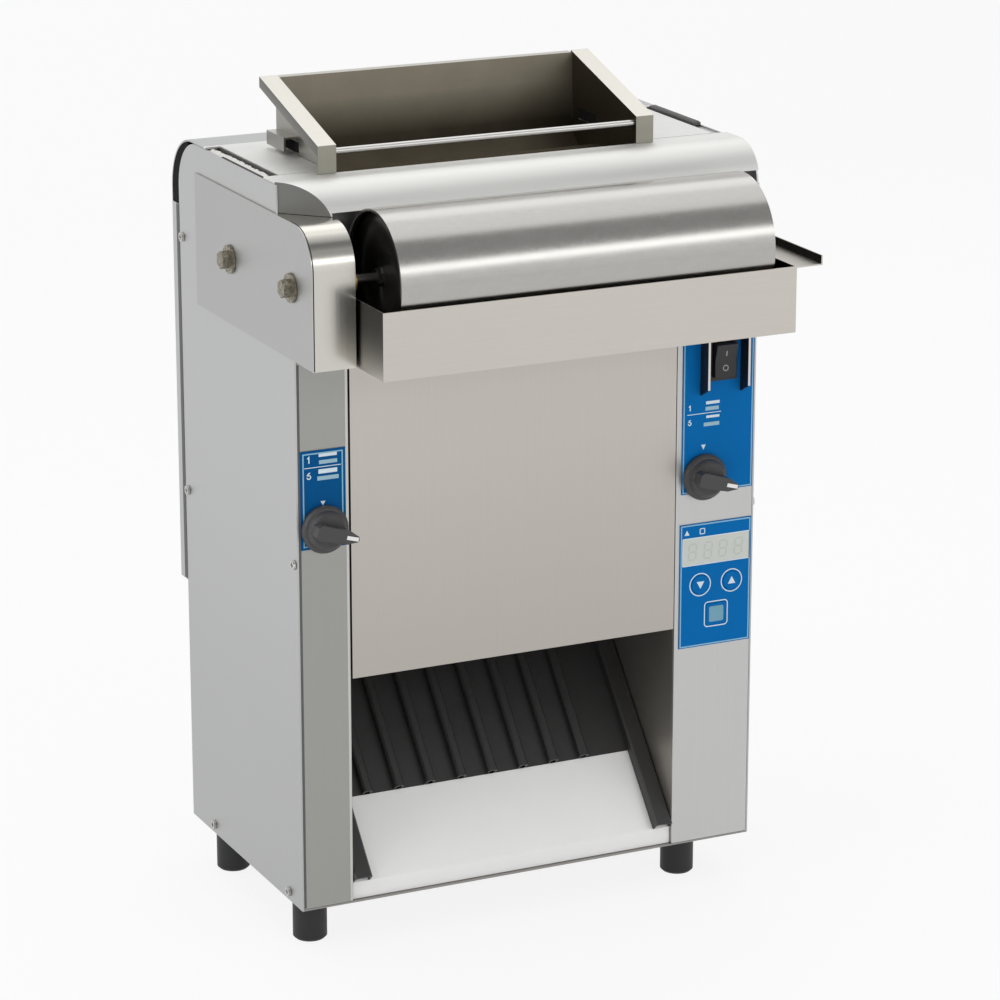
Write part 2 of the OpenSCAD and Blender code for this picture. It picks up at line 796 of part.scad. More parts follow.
// Conveyors
belt_r = roller_r + seat + belt_t;
belt_rib = 0.8;
rib_step = 13;
module half_ring(cy, cz, r, t, up) {
    translate([cy, cz]) intersection() {
        difference() {
            circle(r);
            circle(r - t);
        }
        rect(-r - 1, r + 1, up ? 0 : -r - 1, up ? r + 1 : 0);
    }
}
module belt(y) {
    run = drive_z - idler_z;
    count = floor(run / rib_step);
    yz(platen_x0 + 5, platen_x1 - 5) {
        half_ring(y, drive_z, belt_r, belt_t, true);
        half_ring(y, idler_z, belt_r, belt_t, false);
        for (side = [-1, 1]) {
            rect(y + side * belt_r - (side > 0 ? belt_t : 0),
                y + side * belt_r + (side > 0 ? 0 : belt_t), idler_z, drive_z);
            for (i = [0:count])
                translate([y + side * belt_r, idler_z + i * run / count])
                    rect(side > 0 ? -eps : -belt_rib, side > 0 ? belt_rib : eps, -1, 1);
        }
    }
}
module front_belt() color("#5a564e") place() belt(front_y);
module rear_belt() color("#5a564e") place() belt(rear_y);

module roller(y, z, x_left, x_right) {
    a = platen_x0 + 3;
    b = platen_x1 - 3;
    translate([0, y, z]) rotate([0, 90, 0]) rotate_extrude() {
        rect(0, shaft_d / 2, x_left, x_right);
        rect(0, roller_r, a, a + 3);
        rect(0, roller_r, b - 3, b);
        rect(roller_r - 2, roller_r, a + 1, b - 1);
    }
}
module front_drive_roller() color("#a9a9a9") place() roller(front_y, drive_z, shaft_left, chamber_r + 8);
module rear_drive_roller() color("#a9a9a9") place() roller(rear_y, drive_z, shaft_left, shaft_right);
module front_idler_roller() color("#a9a9a9") place() roller(front_y, idler_z, chamber_l - 8, chamber_r + 8);
module rear_idler_roller() color("#a9a9a9") place() roller(rear_y, idler_z, chamber_l - 8, chamber_r + 8);

// Bushes of the conveyor shafts, the knob spindles and the roller's axle
bush_len = 6.5;
flange_t = 1.5;
spindle_d = 6;
bush_hole_axle = axle_d + 2 * bush_wall + 2 * seat;
module bush(bore, outer, length) {
    rotate_extrude() {
        rect(bore / 2 + run_gap, outer / 2, 0, length);
        rect(bore / 2 + run_gap, outer / 2 + 3, 0, flange_t);
    }
}
module shaft_bushes() {
    color("#b08d4a") place() {
        for (s = shaft_spots) {
            translate([chamber_l + seat + flange_t, s[0], s[1]]) rotate([0, -90, 0]) bush(shaft_d,
                bush_d, bush_len + flange_t);
            translate([chamber_r - seat - flange_t, s[0], s[1]]) rotate([0, 90, 0]) bush(shaft_d,
                bush_d, bush_len + flange_t);
        }
        for (x = [knob_lx, knob_rx])
            translate([x, sheet + seat + flange_t, knob_axis_z]) rotate([90, 0, 0])
                bush(spindle_d, spindle_bush_d, sheet + seat + flange_t + 0.5);
        translate([left + cap_w + seat + flange_t, -drum_out, drum_axis_z]) rotate([0, -90, 0])
            bush(axle_d, axle_d + 2 * bush_wall, 6);
        translate([bracket_x - seat - flange_t, -drum_out, drum_axis_z]) rotate([0, 90, 0])
            bush(axle_d, axle_d + 2 * bush_wall, 6);
    }
}

// Gears that turn both drive shafts in opposite ways
gear_x1 = left + cap_w - sheet - 1.5;
gear_x0 = gear_x1 - 6;
gear_m = conveyor_pitch / gear_teeth;
module gear_outline(phase) {
    pitch_r = conveyor_pitch / 2;
    tip = pitch_r + gear_m;
    root = pitch_r - 1.25 * gear_m;
    difference() {
        union() {
            circle(root, $fn = 126);
            for (i = [0:gear_teeth - 1]) rotate(phase + i * 360 / gear_teeth) polygon([
                [root - 0.5, -0.95 * gear_m], [tip, -0.3 * gear_m], [tip, 0.3 * gear_m], [root - 0.5,
                    0.95 * gear_m],
            ]);
        }
        for (i = [0:4]) rotate(i * 72) translate([pitch_r * 0.58, 0]) circle(d = pitch_r * 0.42);
        circle(d = shaft_d + 2 * run_gap);
    }
}
module gear(y, phase) {
    yz(gear_x0, gear_x1) translate([y, drive_z]) gear_outline(phase);
    yz(gear_x0 - 2, gear_x1 + 1.2) translate([y, drive_z]) difference() {
        circle(d = shaft_d + 10);
        circle(d = shaft_d + 2 * run_gap);
    }
}
module front_drive_gear() color("#8c8b86") place() gear(front_y, 0);
module rear_drive_gear() color("#8c8b86") place() gear(rear_y, 180 + 180 / gear_teeth);

// Chain drive from the gear motor to the rear drive shaft
sprocket_x = chamber_r + sheet + 5.5;
sprocket_t = 2.5;
chain_roller_d = 5.08;
chain_r = chain_pitch / (2 * sin(180 / sprocket_teeth));
module sprocket(y, z) {
    tip = chain_r - chain_roller_d / 2 - seat;
    yz(sprocket_x, sprocket_x + sprocket_t) translate([y, z]) difference() {
        union() {
            circle(tip - 3);
            for (i = [0:sprocket_teeth - 1]) rotate(i * 360 / sprocket_teeth)
                polygon([[tip - 4, -2.6], [tip, -0.8], [tip, 0.8], [tip - 4, 2.6]]);
        }
        circle(d = shaft_d + 2 * run_gap);
    }
    yz(sprocket_x - 0.5, sprocket_x + 8.5) translate([y, z]) difference() {
        circle(d = shaft_d + 8);
        circle(d = shaft_d + 2 * run_gap);
    }
}
module shaft_sprocket() color("#77767a") place() sprocket(rear_y, drive_z);
shaft_left = gear_x0 - 3;
shaft_right = sprocket_x + 9;

chain_run = norm([motor_y - rear_y, motor_z - drive_z]);
chain_dir = [motor_y - rear_y, motor_z - drive_z] / chain_run;
chain_side = [-chain_dir[1], chain_dir[0]];
chain_len = 2 * chain_run + 2 * PI * chain_r;
chain_links = 2 * round(chain_len / chain_pitch / 2);
function on_arc(turn) = chain_r * (cos(turn) * chain_side + sin(turn) * chain_dir);
function chain_at(s) =
    s < chain_run ? [rear_y, drive_z] + chain_r * chain_side + s * chain_dir
    : s < chain_run + PI * chain_r ? [motor_y, motor_z] + on_arc((s - chain_run) / chain_r * 180 / PI)
    : s < 2 * chain_run + PI * chain_r
        ? [motor_y, motor_z] - chain_r * chain_side - (s - chain_run - PI * chain_r) * chain_dir
    : [rear_y, drive_z] - on_arc((s - 2 * chain_run - PI * chain_r) / chain_r * 180 / PI);
chain_spots = [for (i = [0:chain_links]) chain_at((i % chain_links) * chain_len / chain_links)];
module link_plates(first) {
    for (i = [first:2:chain_links - 1]) {
        a = chain_spots[i];
        b = chain_spots[i + 1];
        d = b - a;
        translate(a) rotate(atan2(d[1], d[0])) {
            circle(2.9);
            translate([norm(d), 0]) circle(2.9);
            rect(0, norm(d), -2, 2);
        }
    }
}
chain_mid = sprocket_x + sprocket_t / 2;
module drive_chain() {
    color("#6e6c69") place() {
        for (i = [0:chain_links - 1]) {
            rod_x(chain_mid - 2.2, chain_mid + 2.2, chain_spots[i][0], chain_spots[i][1], chain_roller_d);
            rod_x(chain_mid - 4.6, chain_mid + 4.6, chain_spots[i][0], chain_spots[i][1], 3);
        }
        for (m = [-1, 1]) {
            yz(chain_mid + (m > 0 ? 2.1 : -3.1), chain_mid + (m > 0 ? 3.1 : -2.1)) link_plates(0);
            yz(chain_mid + (m > 0 ? 3.2 : -4.2), chain_mid + (m > 0 ? 4.2 : -3.2)) link_plates(1);
        }
    }
}

box_x0 = sprocket_x + 9.5;
box_x1 = box_x0 + 32;
motor_shaft_len = 30;
module motor_sprocket() {
    color("#77767a") place() {
        rod_x(sprocket_x - 0.5, sprocket_x + motor_shaft_len, motor_y, motor_z, shaft_d);
        rod_x(sprocket_x, sprocket_x + 6, motor_y, motor_z, shaft_d + 2);
        sprocket(motor_y, motor_z);
    }
}
module gear_motor() {
    y0 = motor_y - 24;
    y1 = motor_y + 34;
    z0 = motor_z - 28;
    z1 = motor_z + 58;
    c = 6;
    color("#56585a") place() difference() {
        union() {
            yz(box_x0, box_x1) polygon([
                [y0 + c, z0], [y1 - c, z0], [y1, z0 + c], [y1, z1 - c], [y1 - c, z1], [y0 + c, z1],
                    [y0, z1 - c], [y0, z0 + c],
            ]);
            rod_x(box_x1 - eps, right_in - sheet - 2, (y0 + y1) / 2, (z0 + z1) / 2 + 10, 54);
            for (s = [[y1 - 6, z0 + 6], [y1 - 6, z1 - 6], [y0 + 6, z0 + 6]])
                rod_x(chamber_r + sheet + seat, box_x0 + eps, s[0], s[1], 8);
        }
        rod_x(box_x0 - 1, sprocket_x + motor_shaft_len + 1, motor_y, motor_z, shaft_d + 2 * run_gap);
        for (i = [0:2]) difference() {
            rod_x(box_x1 + 4 + 5 * i, box_x1 + 6 + 5 * i, (y0 + y1) / 2, (z0 + z1) / 2 + 10, 60);
            rod_x(box_x1 + 3 + 5 * i, box_x1 + 7 + 5 * i, (y0 + y1) / 2, (z0 + z1) / 2 + 10, 50);
        }
    }
}

// Butter roller
drum_axis_z = top - drum_drop;
disc_t = 3;
nut_t = 4;
bracket_x = drum_x1 + 4;
module butter_roller() {
    color("#c8c8c4") place() translate([0, -drum_out, drum_axis_z]) rotate([0, 90, 0]) rotate_extrude() {
        rect(drum_d / 2 - drum_wall, drum_d / 2, drum_x0, drum_x1);
        rect(axle_d / 2 + run_gap, drum_d / 2 - drum_wall + eps, drum_x0 + drum_recess,
            drum_x0 + drum_recess + disc_t);
        rect(axle_d / 2 + run_gap, drum_d / 2 - drum_wall + eps, drum_x1 - drum_recess - disc_t,
            drum_x1 - drum_recess);
    }
}
// Nuts, collar and head of the roller's axle, and the half height of its bracket
axle_nut = 13;
axle_collar = 13;
axle_head = 12;
collar_in = 12;
collar_l = 4;
bracket_t = 3;
bracket_half = 12;
module roller_axle() {
    y = -drum_out;
    z = drum_axis_z;
    color("#8f8f8d") place() {
        rod_x(left + cap_w - 9, bracket_x + 8, y, z, axle_d);
        hex_x(drum_x0 + drum_recess - seat - nut_t, drum_x0 + drum_recess - seat, y, z, axle_nut);
        hex_x(drum_x1 - drum_recess + seat, drum_x1 - drum_recess + seat + nut_t, y, z, axle_nut);
        rod_x(left + cap_w - collar_in, left + cap_w - collar_in + collar_l, y, z, axle_collar);
        rod_x(bracket_x + 7, bracket_x + 10, y, z, axle_head);
    }
}
module roller_bracket() {
    color("#a4a4a2") place() difference() {
        union() {
            yz(bracket_x, bracket_x + bracket_t) {
                translate([-drum_out, drum_axis_z]) circle(13);
                rect(-drum_out, recess_d - sheet - seat, drum_axis_z - bracket_half,
                    drum_axis_z + bracket_half);
            }
            box(bracket_x, right_in - 2, recess_d - 2 * sheet - seat, recess_d - sheet - seat,
                drum_axis_z - bracket_half, drum_axis_z + bracket_half);
        }
        rod_x(bracket_x - 1, bracket_x + 4, -drum_out, drum_axis_z, bush_hole_axle);
    }
}

pan_z0 = recess_z + seat;
pan_t = 1.2;
module butter_pan() {
    z1 = pan_z0 + pan_h;
    y1 = handle_len - pan_out;
    color("#c9c6bf") place() {
        difference() {
            box(pan_x0, pan_x1, -pan_out, pan_in, pan_z0, z1);
            box(pan_x0 + pan_t, pan_x1 - pan_t, -pan_out + pan_t, pan_in - pan_t, pan_z0 + pan_t, z1 + 1);
        }
        box(pan_x1 - eps, pan_x1 + handle_w, -pan_out, y1, z1 - pan_t, z1);
        box(pan_x1 + handle_w - pan_t, pan_x1 + handle_w, -pan_out, y1, z1 - pan_t, z1 + handle_lip);
        box(pan_x1 + 2, pan_x1 + handle_w, y1 - pan_t, y1, z1 - pan_t, z1 + handle_lip);
    }
}

// Knobs with their spindles, and the pressure plates that they move
label_t = 0.4;
label_front = -seat - label_t;
knob_y = label_front - 1.3;
pointer_a = 16;
spindle_thread = 8;
rear_arm_y = rear_y - 3;
front_arm_y = front_y + 2.5;
plate_t = 3;
block_w = 20;
block_d = 12;
module knob_profile() {
    r = knob_d / 2;
    polygon([
        [0, 0], [r - 0.5, 0], [r, 0.5], [r, 3.5], [r - 1.2, 5.2], [r - 2.2, 6], [r - 3, 6.2],
        [r - 4.2, 9.5], [r - 5.2, 11], [r - 6.6, 12], [0, 12],
    ]);
}
pointer_r = 3;
pointer_z = 5;
module knob(x, spindle_end) {
    tip = knob_d / 2 + 2.5 - pointer_r;
    tail = -knob_d / 2 + 8;
    color("#1c1c1d") place() {
        translate([x, knob_y, knob_axis_z]) rotate([90, pointer_a, 0]) {
            rotate_extrude() knob_profile();
            translate([0, 0, pointer_z]) linear_extrude(knob_h - pointer_z) {
                polygon([
                    [tail, -6.5], [tip - 6, -5.5], [tip, -pointer_r], [tip, pointer_r], [tip - 6, 5.5],
                        [tail, 6.5],
                    [tail - 3, 4], [tail - 3, -4],
                ]);
                translate([tip, 0]) circle(pointer_r);
            }
        }
        rod_y(knob_y - eps, spindle_end, x, knob_axis_z, spindle_d);
        rod_y(spindle_end - 30, spindle_end, x, knob_axis_z, spindle_thread);
    }
}
module left_knob() knob(knob_lx, rear_arm_y + 18);
module right_knob() knob(knob_rx, front_arm_y + 18);

module pressure_plate(y, knob_x) {
    x0 = platen_x0 + 10;
    x1 = platen_x1 - 10;
    side = knob_x < 0 ? x0 + 1 : x1 - 1;
    z0 = idler_z + 20;
    z1 = drive_z - 20;
    difference() {
        union() {
            box(x0, x1, y - plate_t / 2, y + plate_t / 2, z0, z1);
            box(min(side, knob_x), max(side, knob_x), y - plate_t / 2, y + plate_t / 2,
                knob_axis_z - arm_w / 2, knob_axis_z + arm_w / 2);
            box(knob_x - block_w / 2, knob_x + block_w / 2, y - block_d / 2, y + block_d / 2,
                knob_axis_z - arm_w / 2, knob_axis_z + arm_w / 2);
        }
        rod_y(y - block_d, y + block_d, knob_x, knob_axis_z, spindle_thread + 2 * run_gap);
        for (i = [0:3], j = [0:2])
            box(x0 + 20 + i * (x1 - x0 - 40) / 4 + 8, x0 + 20 + (i + 1) * (x1 - x0 - 40) / 4 - 8,
                y - 9, y + 9,
                z0 + 75 + j * 55, z0 + 110 + j * 55);
    }
}
module front_pressure_plate() color("#b3b2ae") place() pressure_plate(front_arm_y, knob_rx);
module rear_pressure_plate() color("#b3b2ae") place() pressure_plate(rear_arm_y, knob_lx);

// Labels
label_inset = 1.5;
label_below_knob = 14.5;
module label(x0, x1, z0, z1) box(x0, x1, label_front, -seat, z0, z1);
module left_label() {
    color("#005fa5") place() difference() {
        label(left_in + label_inset, chamber_l - seat - 3, knob_axis_z - 16.7, knob_axis_z + 66);
        rod_y(-2, 0, knob_lx, knob_axis_z, spindle_hole);
    }
}
module right_label() {
    color("#005fa5") place() difference() {
        label(chamber_r + 5.3, right_in - seat, knob_axis_z - label_below_knob, column_top - 1);
        control_holes(-2, 0, seat);
    }
}
module control_label() {
    color("#005fa5") place() difference() {
        label(chamber_r + 4.5, right_in - seat, control_z0, control_z1);
        control_holes(-2, 0, seat);
    }
}

board_y = 14;
module display() {
    color("#b9beb8") place()
        box(display_x0, display_x1, label_front + 0.1, board_y - seat, display_z0, display_z1);
}

// Power switch with its rocker and guard
guard_t = 2;
guard_back = sheet + seat;
guard_web = 0.8;
fin_x = 20;
guard_z0 = switch_axis_z - 30.5;
guard_z1 = column_top - 3;
bezel_y = label_front - seat;
pivot_y = -0.4;
pocket_h = 32;
rocker_w = 19.6;
module power_switch() {
    color("#2a2a2b") place() difference() {
        union() {
            box(switch_x - 13, switch_x + 13, bezel_y - 2, bezel_y, switch_axis_z - 19, switch_axis_z + 19);
            box(switch_x - switch_w / 2, switch_x + switch_w / 2, bezel_y - eps, 24,
                switch_axis_z - switch_h / 2, switch_axis_z + switch_h / 2);
            for (i = [-1:1]) box(switch_x - 3, switch_x + 3, 24 - eps, 32,
                switch_axis_z + 10 * i - 0.4, switch_axis_z + 10 * i + 0.4);
        }
        box(switch_x - rocker_w / 2 - 0.4, switch_x + rocker_w / 2 + 0.4, bezel_y - 3, 8,
            switch_axis_z - pocket_h / 2, switch_axis_z + pocket_h / 2);
        rod_x(switch_x - 10.9, switch_x + 10.9, pivot_y, switch_axis_z, 2.5 + 2 * run_gap);
    }
}
rocker_tilt = 7;
module switch_rocker() {
    color("#333335") place() translate([0, pivot_y, switch_axis_z]) rotate([rocker_tilt, 0, 0]) {
        yz(switch_x - rocker_w / 2, switch_x + rocker_w / 2)
            polygon([[-9, 14.5], [-6.8, 0], [-9, -14.5], [1, -14.5], [5, -6], [5, 6], [1, 14.5]]);
        rod_x(switch_x - 10.7, switch_x + 10.7, 0, 0, 2.5);
    }
}
module switch_guard() {
    color("#1f1f20") place() difference() {
        union() {
            box(switch_x - fin_x, switch_x + fin_x, guard_back, guard_back + guard_web, guard_z0, guard_z1);
            for (x = [switch_x - fin_x, switch_x + fin_x - guard_t]) yz(x, x + guard_t) polygon([
                [guard_back + guard_web, guard_z0], [label_front, guard_z0], [-guard_out, guard_z0 + 7],
                [-guard_out, guard_z1], [guard_back + guard_web, guard_z1],
            ]);
        }
        box(switch_x - switch_w / 2 - seat, switch_x + switch_w / 2 + seat, guard_back - 1, guard_back + 2,
            switch_axis_z - switch_h / 2 - seat, switch_axis_z + switch_h / 2 + seat);
    }
}

// Keys, each with a flange behind the column and a stem to its contact
key_front = label_front - 0.5;
key_back = sheet + seat;
key_travel = 0.5;
stem_end = 9;
module round_key(spot) {
    color("#0a65aa") place() {
        rod_y(key_front, key_back + 1, spot[0], spot[1], key_d);
        rod_y(key_back, key_back + 1, spot[0], spot[1], key_d + 3);
        rod_y(key_back, stem_end, spot[0], spot[1], 4);
    }
}
module down_key() round_key(down_spot);
module up_key() round_key(up_spot);
module start_key() {
    x = start_spot[0];
    z = start_spot[1];
    h = start_w / 2;
    color("#0a65aa") place() {
        box(x - h, x + h, key_front, key_back + 1, z - h, z + h);
        box(x - h - 1.5, x + h + 1.5, key_back, key_back + 1, z - h - 1.5, z + h + 1.5);
        rod_y(key_back, stem_end, x, z, 4);
    }
}

module control_board() {
    x0 = chamber_r + 6;
    x1 = right_in - 4;
    z0 = control_z0 + 1.5;
    z1 = control_z1 - 3.7;
    color("#2f6b43") place() {
        box(x0, x1, board_y, board_y + 1.6, z0, z1);
        for (s = [down_spot, up_spot, start_spot])
            box(s[0] - 3, s[0] + 3, stem_end + key_travel + seat, board_y + eps, s[1] - 3, s[1] + 3);
        for (x = [x0 + 4, x1 - 4], z = [z0 + 4, z1 - 4]) rod_y(sheet + seat, board_y + eps, x, z, 5);
        box(x0 + 8, x0 + 34, board_y + 1.5, board_y + 18, z0 + 14, z0 + 34);
        box(x0 + 8, x0 + 34, board_y + 1.5, board_y + 18, z0 + 40, z0 + 60);
        rod_y(board_y + 1.5, board_y + 22, x1 - 18, z0 + 30, 16);
        box(x0 + 6, x1 - 8, board_y + 1.5, board_y + 11, z1 - 16, z1 - 6);
    }
}

// Ribbed chute and landing plate, drawn flat and tilted about the chute's lower edge
chute_y = 52;
chute_z = 113;
chute_end = body_d - 34;
chute_len = (chute_end - chute_y) / cos(chute_a);
land_len = (chute_y - 3) / cos(chute_a);
rail_w = 16;
rail_h = 9;
chute_x0 = chamber_l + seat;
chute_x1 = chamber_r - seat;
module tilted() translate([0, chute_y, chute_z]) rotate([chute_a, 0, 0]) children();
module rib_outline(x, w, h) {
    polygon([
        [x - w / 2, 0], [x - w / 2, h - 1.5], [x - w / 2 + 1.5, h], [x + w / 2 - 1.5, h], [x + w / 2,
            h - 1.5], [x + w / 2, 0],
    ]);
}
module ribbed_chute() {
    first = chute_x0 + rail_w + rib_first;
    count = floor((chute_x1 - rail_w - rib_last - first) / rib_pitch);
    ribs = [for (i = [0:count]) first + i * rib_pitch];
    rails = [chute_x0 + rail_w / 2, chute_x1 - rail_w / 2];
    color("#29282a") place() tilted() {
        xz(0, chute_len) difference() {
            union() {
                rect(chute_x0, chute_x1, -sheet, eps);
                for (x = ribs) rib_outline(x, rib_w, rib_h);
                for (x = rails) rib_outline(x, rail_w, rail_h);
            }
            for (x = ribs) translate([0, -sheet]) rib_outline(x, rib_w - 2 * sheet, rib_h);
            for (x = rails) translate([0, -sheet]) rib_outline(x, rail_w - 2 * sheet, rail_h);
        }
        xz(-land_len, eps) difference() {
            for (x = rails) rib_outline(x, rail_w, rail_h);
            for (x = rails) translate([0, -sheet]) rib_outline(x, rail_w - 2 * sheet, rail_h);
        }
    }
}
// A point beside the chute's lower edge: u runs up the slope and n stands square to it
function on_slope(u, n) = [
    chute_y + u * cos(chute_a) - n * sin(chute_a), chute_z + u * sin(chute_a) + n * cos(chute_a),
];
module landing_plate() {
    foot_z = bottom + sheet + seat;
    lip = on_slope(-land_len, -seat);
    under = -seat - sheet;
    bend_u = (lip[0] + sheet - chute_y + under * sin(chute_a)) / cos(chute_a);
    color("#e9e9e8") place() yz(chute_x0, chute_x1) polygon([
        on_slope(-seat, -seat), lip, [lip[0], foot_z], [lip[0] + sheet, foot_z],
        on_slope(bend_u, under), on_slope(-seat, under),
    ]);
}

module cord_gland() {
    color("#202020") place() difference() {
        union() {
            rod_y(body_d - sheet - 8, body_d + 3, gland_x, gland_z, gland_d);
            rod_y(body_d + seat, body_d + 5, gland_x, gland_z, gland_d + 8);
            rod_y(body_d + 4, body_d + rear_out - 1, gland_x, gland_z, gland_d - 2);
            rod_y(body_d - sheet - 8, body_d - sheet - seat, gland_x, gland_z, gland_d + 8);
        }
        rod_y(body_d - 20, body_d + 30, gland_x, gland_z, 9);
    }
}

base_plate();
feet();
left_side_panel();
right_side_panel();
panel_screws();
left_frame_plate();
right_frame_plate();
left_column();
right_column();
front_cover();
recess_panel();
rear_panel();
rear_cover();
corner_trims();
hood();
side_cap();
cap_bolts();
feeder_left_side();
feeder_right_side();
feeder_rear_plate();
feeder_divider();
feeder_rod();
heated_platen();
heating_element();
release_sheet();
front_belt();
rear_belt();
front_drive_roller();
rear_drive_roller();
front_idler_roller();
rear_idler_roller();
shaft_bushes();
front_drive_gear();
rear_drive_gear();
shaft_sprocket();
drive_chain();
gear_motor();
motor_sprocket();
butter_roller();
roller_axle();
roller_bracket();
butter_pan();
left_knob();
right_knob();
front_pressure_plate();
rear_pressure_plate();
left_label();
right_label();
control_label();
display();
power_switch();
switch_rocker();
switch_guard();
down_key();
up_key();
start_key();
control_board();
ribbed_chute();
landing_plate();
cord_gland();
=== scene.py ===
# %% [markdown]
# A vertical contact toaster stands on four feet. Its sheet metal body, feeder,
# buttering roller and pan come from the CAD model. This file loads them as a
# fixed frame and adds what a CAD model cannot give: finishes, print, small
# hardware, light and a camera.

# %% Load the frame
import math
import random

import bmesh
import bpy
from mathutils import Matrix, Vector


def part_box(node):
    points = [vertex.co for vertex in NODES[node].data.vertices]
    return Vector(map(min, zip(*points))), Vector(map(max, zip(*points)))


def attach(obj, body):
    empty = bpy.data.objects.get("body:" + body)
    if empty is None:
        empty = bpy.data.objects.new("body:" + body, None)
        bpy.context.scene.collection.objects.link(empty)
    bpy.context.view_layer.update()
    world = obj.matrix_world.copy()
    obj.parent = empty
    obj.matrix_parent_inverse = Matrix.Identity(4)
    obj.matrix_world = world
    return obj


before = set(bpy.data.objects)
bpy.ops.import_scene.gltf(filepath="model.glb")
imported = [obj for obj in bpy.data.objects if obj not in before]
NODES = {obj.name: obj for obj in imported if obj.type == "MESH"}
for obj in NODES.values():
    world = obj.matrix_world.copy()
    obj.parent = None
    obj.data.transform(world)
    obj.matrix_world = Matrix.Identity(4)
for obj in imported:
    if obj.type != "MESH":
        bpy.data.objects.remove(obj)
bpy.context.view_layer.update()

# %% [markdown]
# Colours should come out as they are written, so that the metal is judged by
# its own values. The Standard view transform does that.

# %% Colour management
scene = bpy.context.scene
scene.view_settings.view_transform = "Standard"
print("view transform:", scene.view_settings.view_transform)

# %% [markdown]
# Places on the machine are easiest to read as on a drawing of it: millimetres
# from the middle of the body, its front face and the floor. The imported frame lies
# a little to the side of that, so one function turns a place into its metres.

# %% Places on the body
MM = 0.001
BODY_TO_FRAME = Vector((0.9, -87.0, 0.0))
LEFT, RIGHT, TOP = -210.0, 210.0, 650.0


def at(x, y, z):
    """A place on the body, in the frame's metres."""
    return (Vector((x, y, z)) + BODY_TO_FRAME) * MM


print("body origin in the frame, mm:", tuple(BODY_TO_FRAME))

# %% [markdown]
# The picture was taken from the left and a little above, about three metres away,
# so that the hood, the roller and the chute overlap as they do there. A shifted
# lens could keep the uprights parallel, but a long lens that points down a little
# comes close without any shift.

# %% Camera
CAMERA_PLACE = (-1362.5 * MM, -2886.2 * MM, 1304.1 * MM)
CAMERA_TURN = math.radians(25.49)
CAMERA_TILT = math.radians(16.71)
CAMERA_LENS = 141.5


def make_camera():
    """A still camera with everything in focus."""
    data = bpy.data.cameras.new("still_camera")
    data.sensor_width = 36
    data.lens = CAMERA_LENS
    data.clip_end = 60
    camera = bpy.data.objects.new("still_camera", data)
    scene.collection.objects.link(camera)
    camera.location = CAMERA_PLACE
    camera.rotation_euler = (math.pi / 2 - CAMERA_TILT, 0, -CAMERA_TURN)
    scene.camera = camera


make_camera()
print("camera at", CAMERA_PLACE)

# %% [markdown]
# A material is a tree of nodes, and its sums could be wired one Math node at a
# time. Ordinary sums read better, so Wire wraps one output socket, and each
# operator on it adds the Math node that does the sum.

# %% Sums on sockets
class Wire:
    """One output socket that can be added, multiplied and raised."""

    def __init__(self, tree, socket):
        self.tree = tree
        self.socket = socket

    def _math(self, operation, first, second=None, clamp=False):
        made = self.tree.nodes.new("ShaderNodeMath")
        made.operation = operation
        made.use_clamp = clamp
        for slot, value in zip(made.inputs, (first, second)):
            if isinstance(value, Wire):
                self.tree.links.new(value.socket, slot)
            elif value is not None:
                slot.default_value = value
        return Wire(self.tree, made.outputs[0])

    def __add__(self, other):
        return self._math("ADD", self, other)

    __radd__ = __add__

    def __sub__(self, other):
        return self._math("SUBTRACT", self, other)

    def __rsub__(self, other):
        return self._math("SUBTRACT", other, self)

    def __mul__(self, other):
        return self._math("MULTIPLY", self, other)

    __rmul__ = __mul__

    def __truediv__(self, other):
        return self._math("DIVIDE", self, other)

    def __rtruediv__(self, other):
        return self._math("DIVIDE", other, self)

    def __pow__(self, other):
        return self._math("POWER", self, other)

    def __rpow__(self, other):
        return self._math("POWER", other, self)

    def larger(self, other):
        return self._math("MAXIMUM", self, other)

    def above(self, edge):
        return self._math("GREATER_THAN", self, edge)

    def clamped(self):
        return self._math("ADD", self, 0.0, clamp=True)


print("sums ready")

# %% [markdown]
# Every other node comes from one method, which sets a node up before it fills its
# sockets. That keeps the order right for nodes whose sockets follow a setting.
# The tree may be a material's or the world's.

# %% Nodes of a tree
class Nodes:
    """A tree of nodes and the one method that adds to it."""

    def __init__(self, tree):
        self.tree = tree

    def node(self, kind, settings=None, sockets=None, output=0):
        """Adds a node: its settings first, then its sockets' values or links."""
        made = self.tree.nodes.new("ShaderNode" + kind)
        for key, value in (settings or {}).items():
            setattr(made, key, value)
        for key, value in (sockets or {}).items():
            if isinstance(value, Wire):
                self.tree.links.new(value.socket, made.inputs[key])
            else:
                made.inputs[key].default_value = value
        return Wire(self.tree, made.outputs[output])

    def first(self, name):
        """The output of a node that the tree starts with."""
        return Wire(self.tree, self.tree.nodes[name].outputs[0])

    def show(self, output, shader):
        """Makes a shader the surface that the tree's output shows."""
        surface = self.tree.nodes[output].inputs["Surface"]
        self.tree.links.new(shader.socket, surface)


print("node method ready")

# %% [markdown]
# Finish holds one material and names what this machine's finishes share: cloudy
# noise, places and directions on the piece, blends and bump. The Principled
# shader does the rest, as it does for most real surfaces.

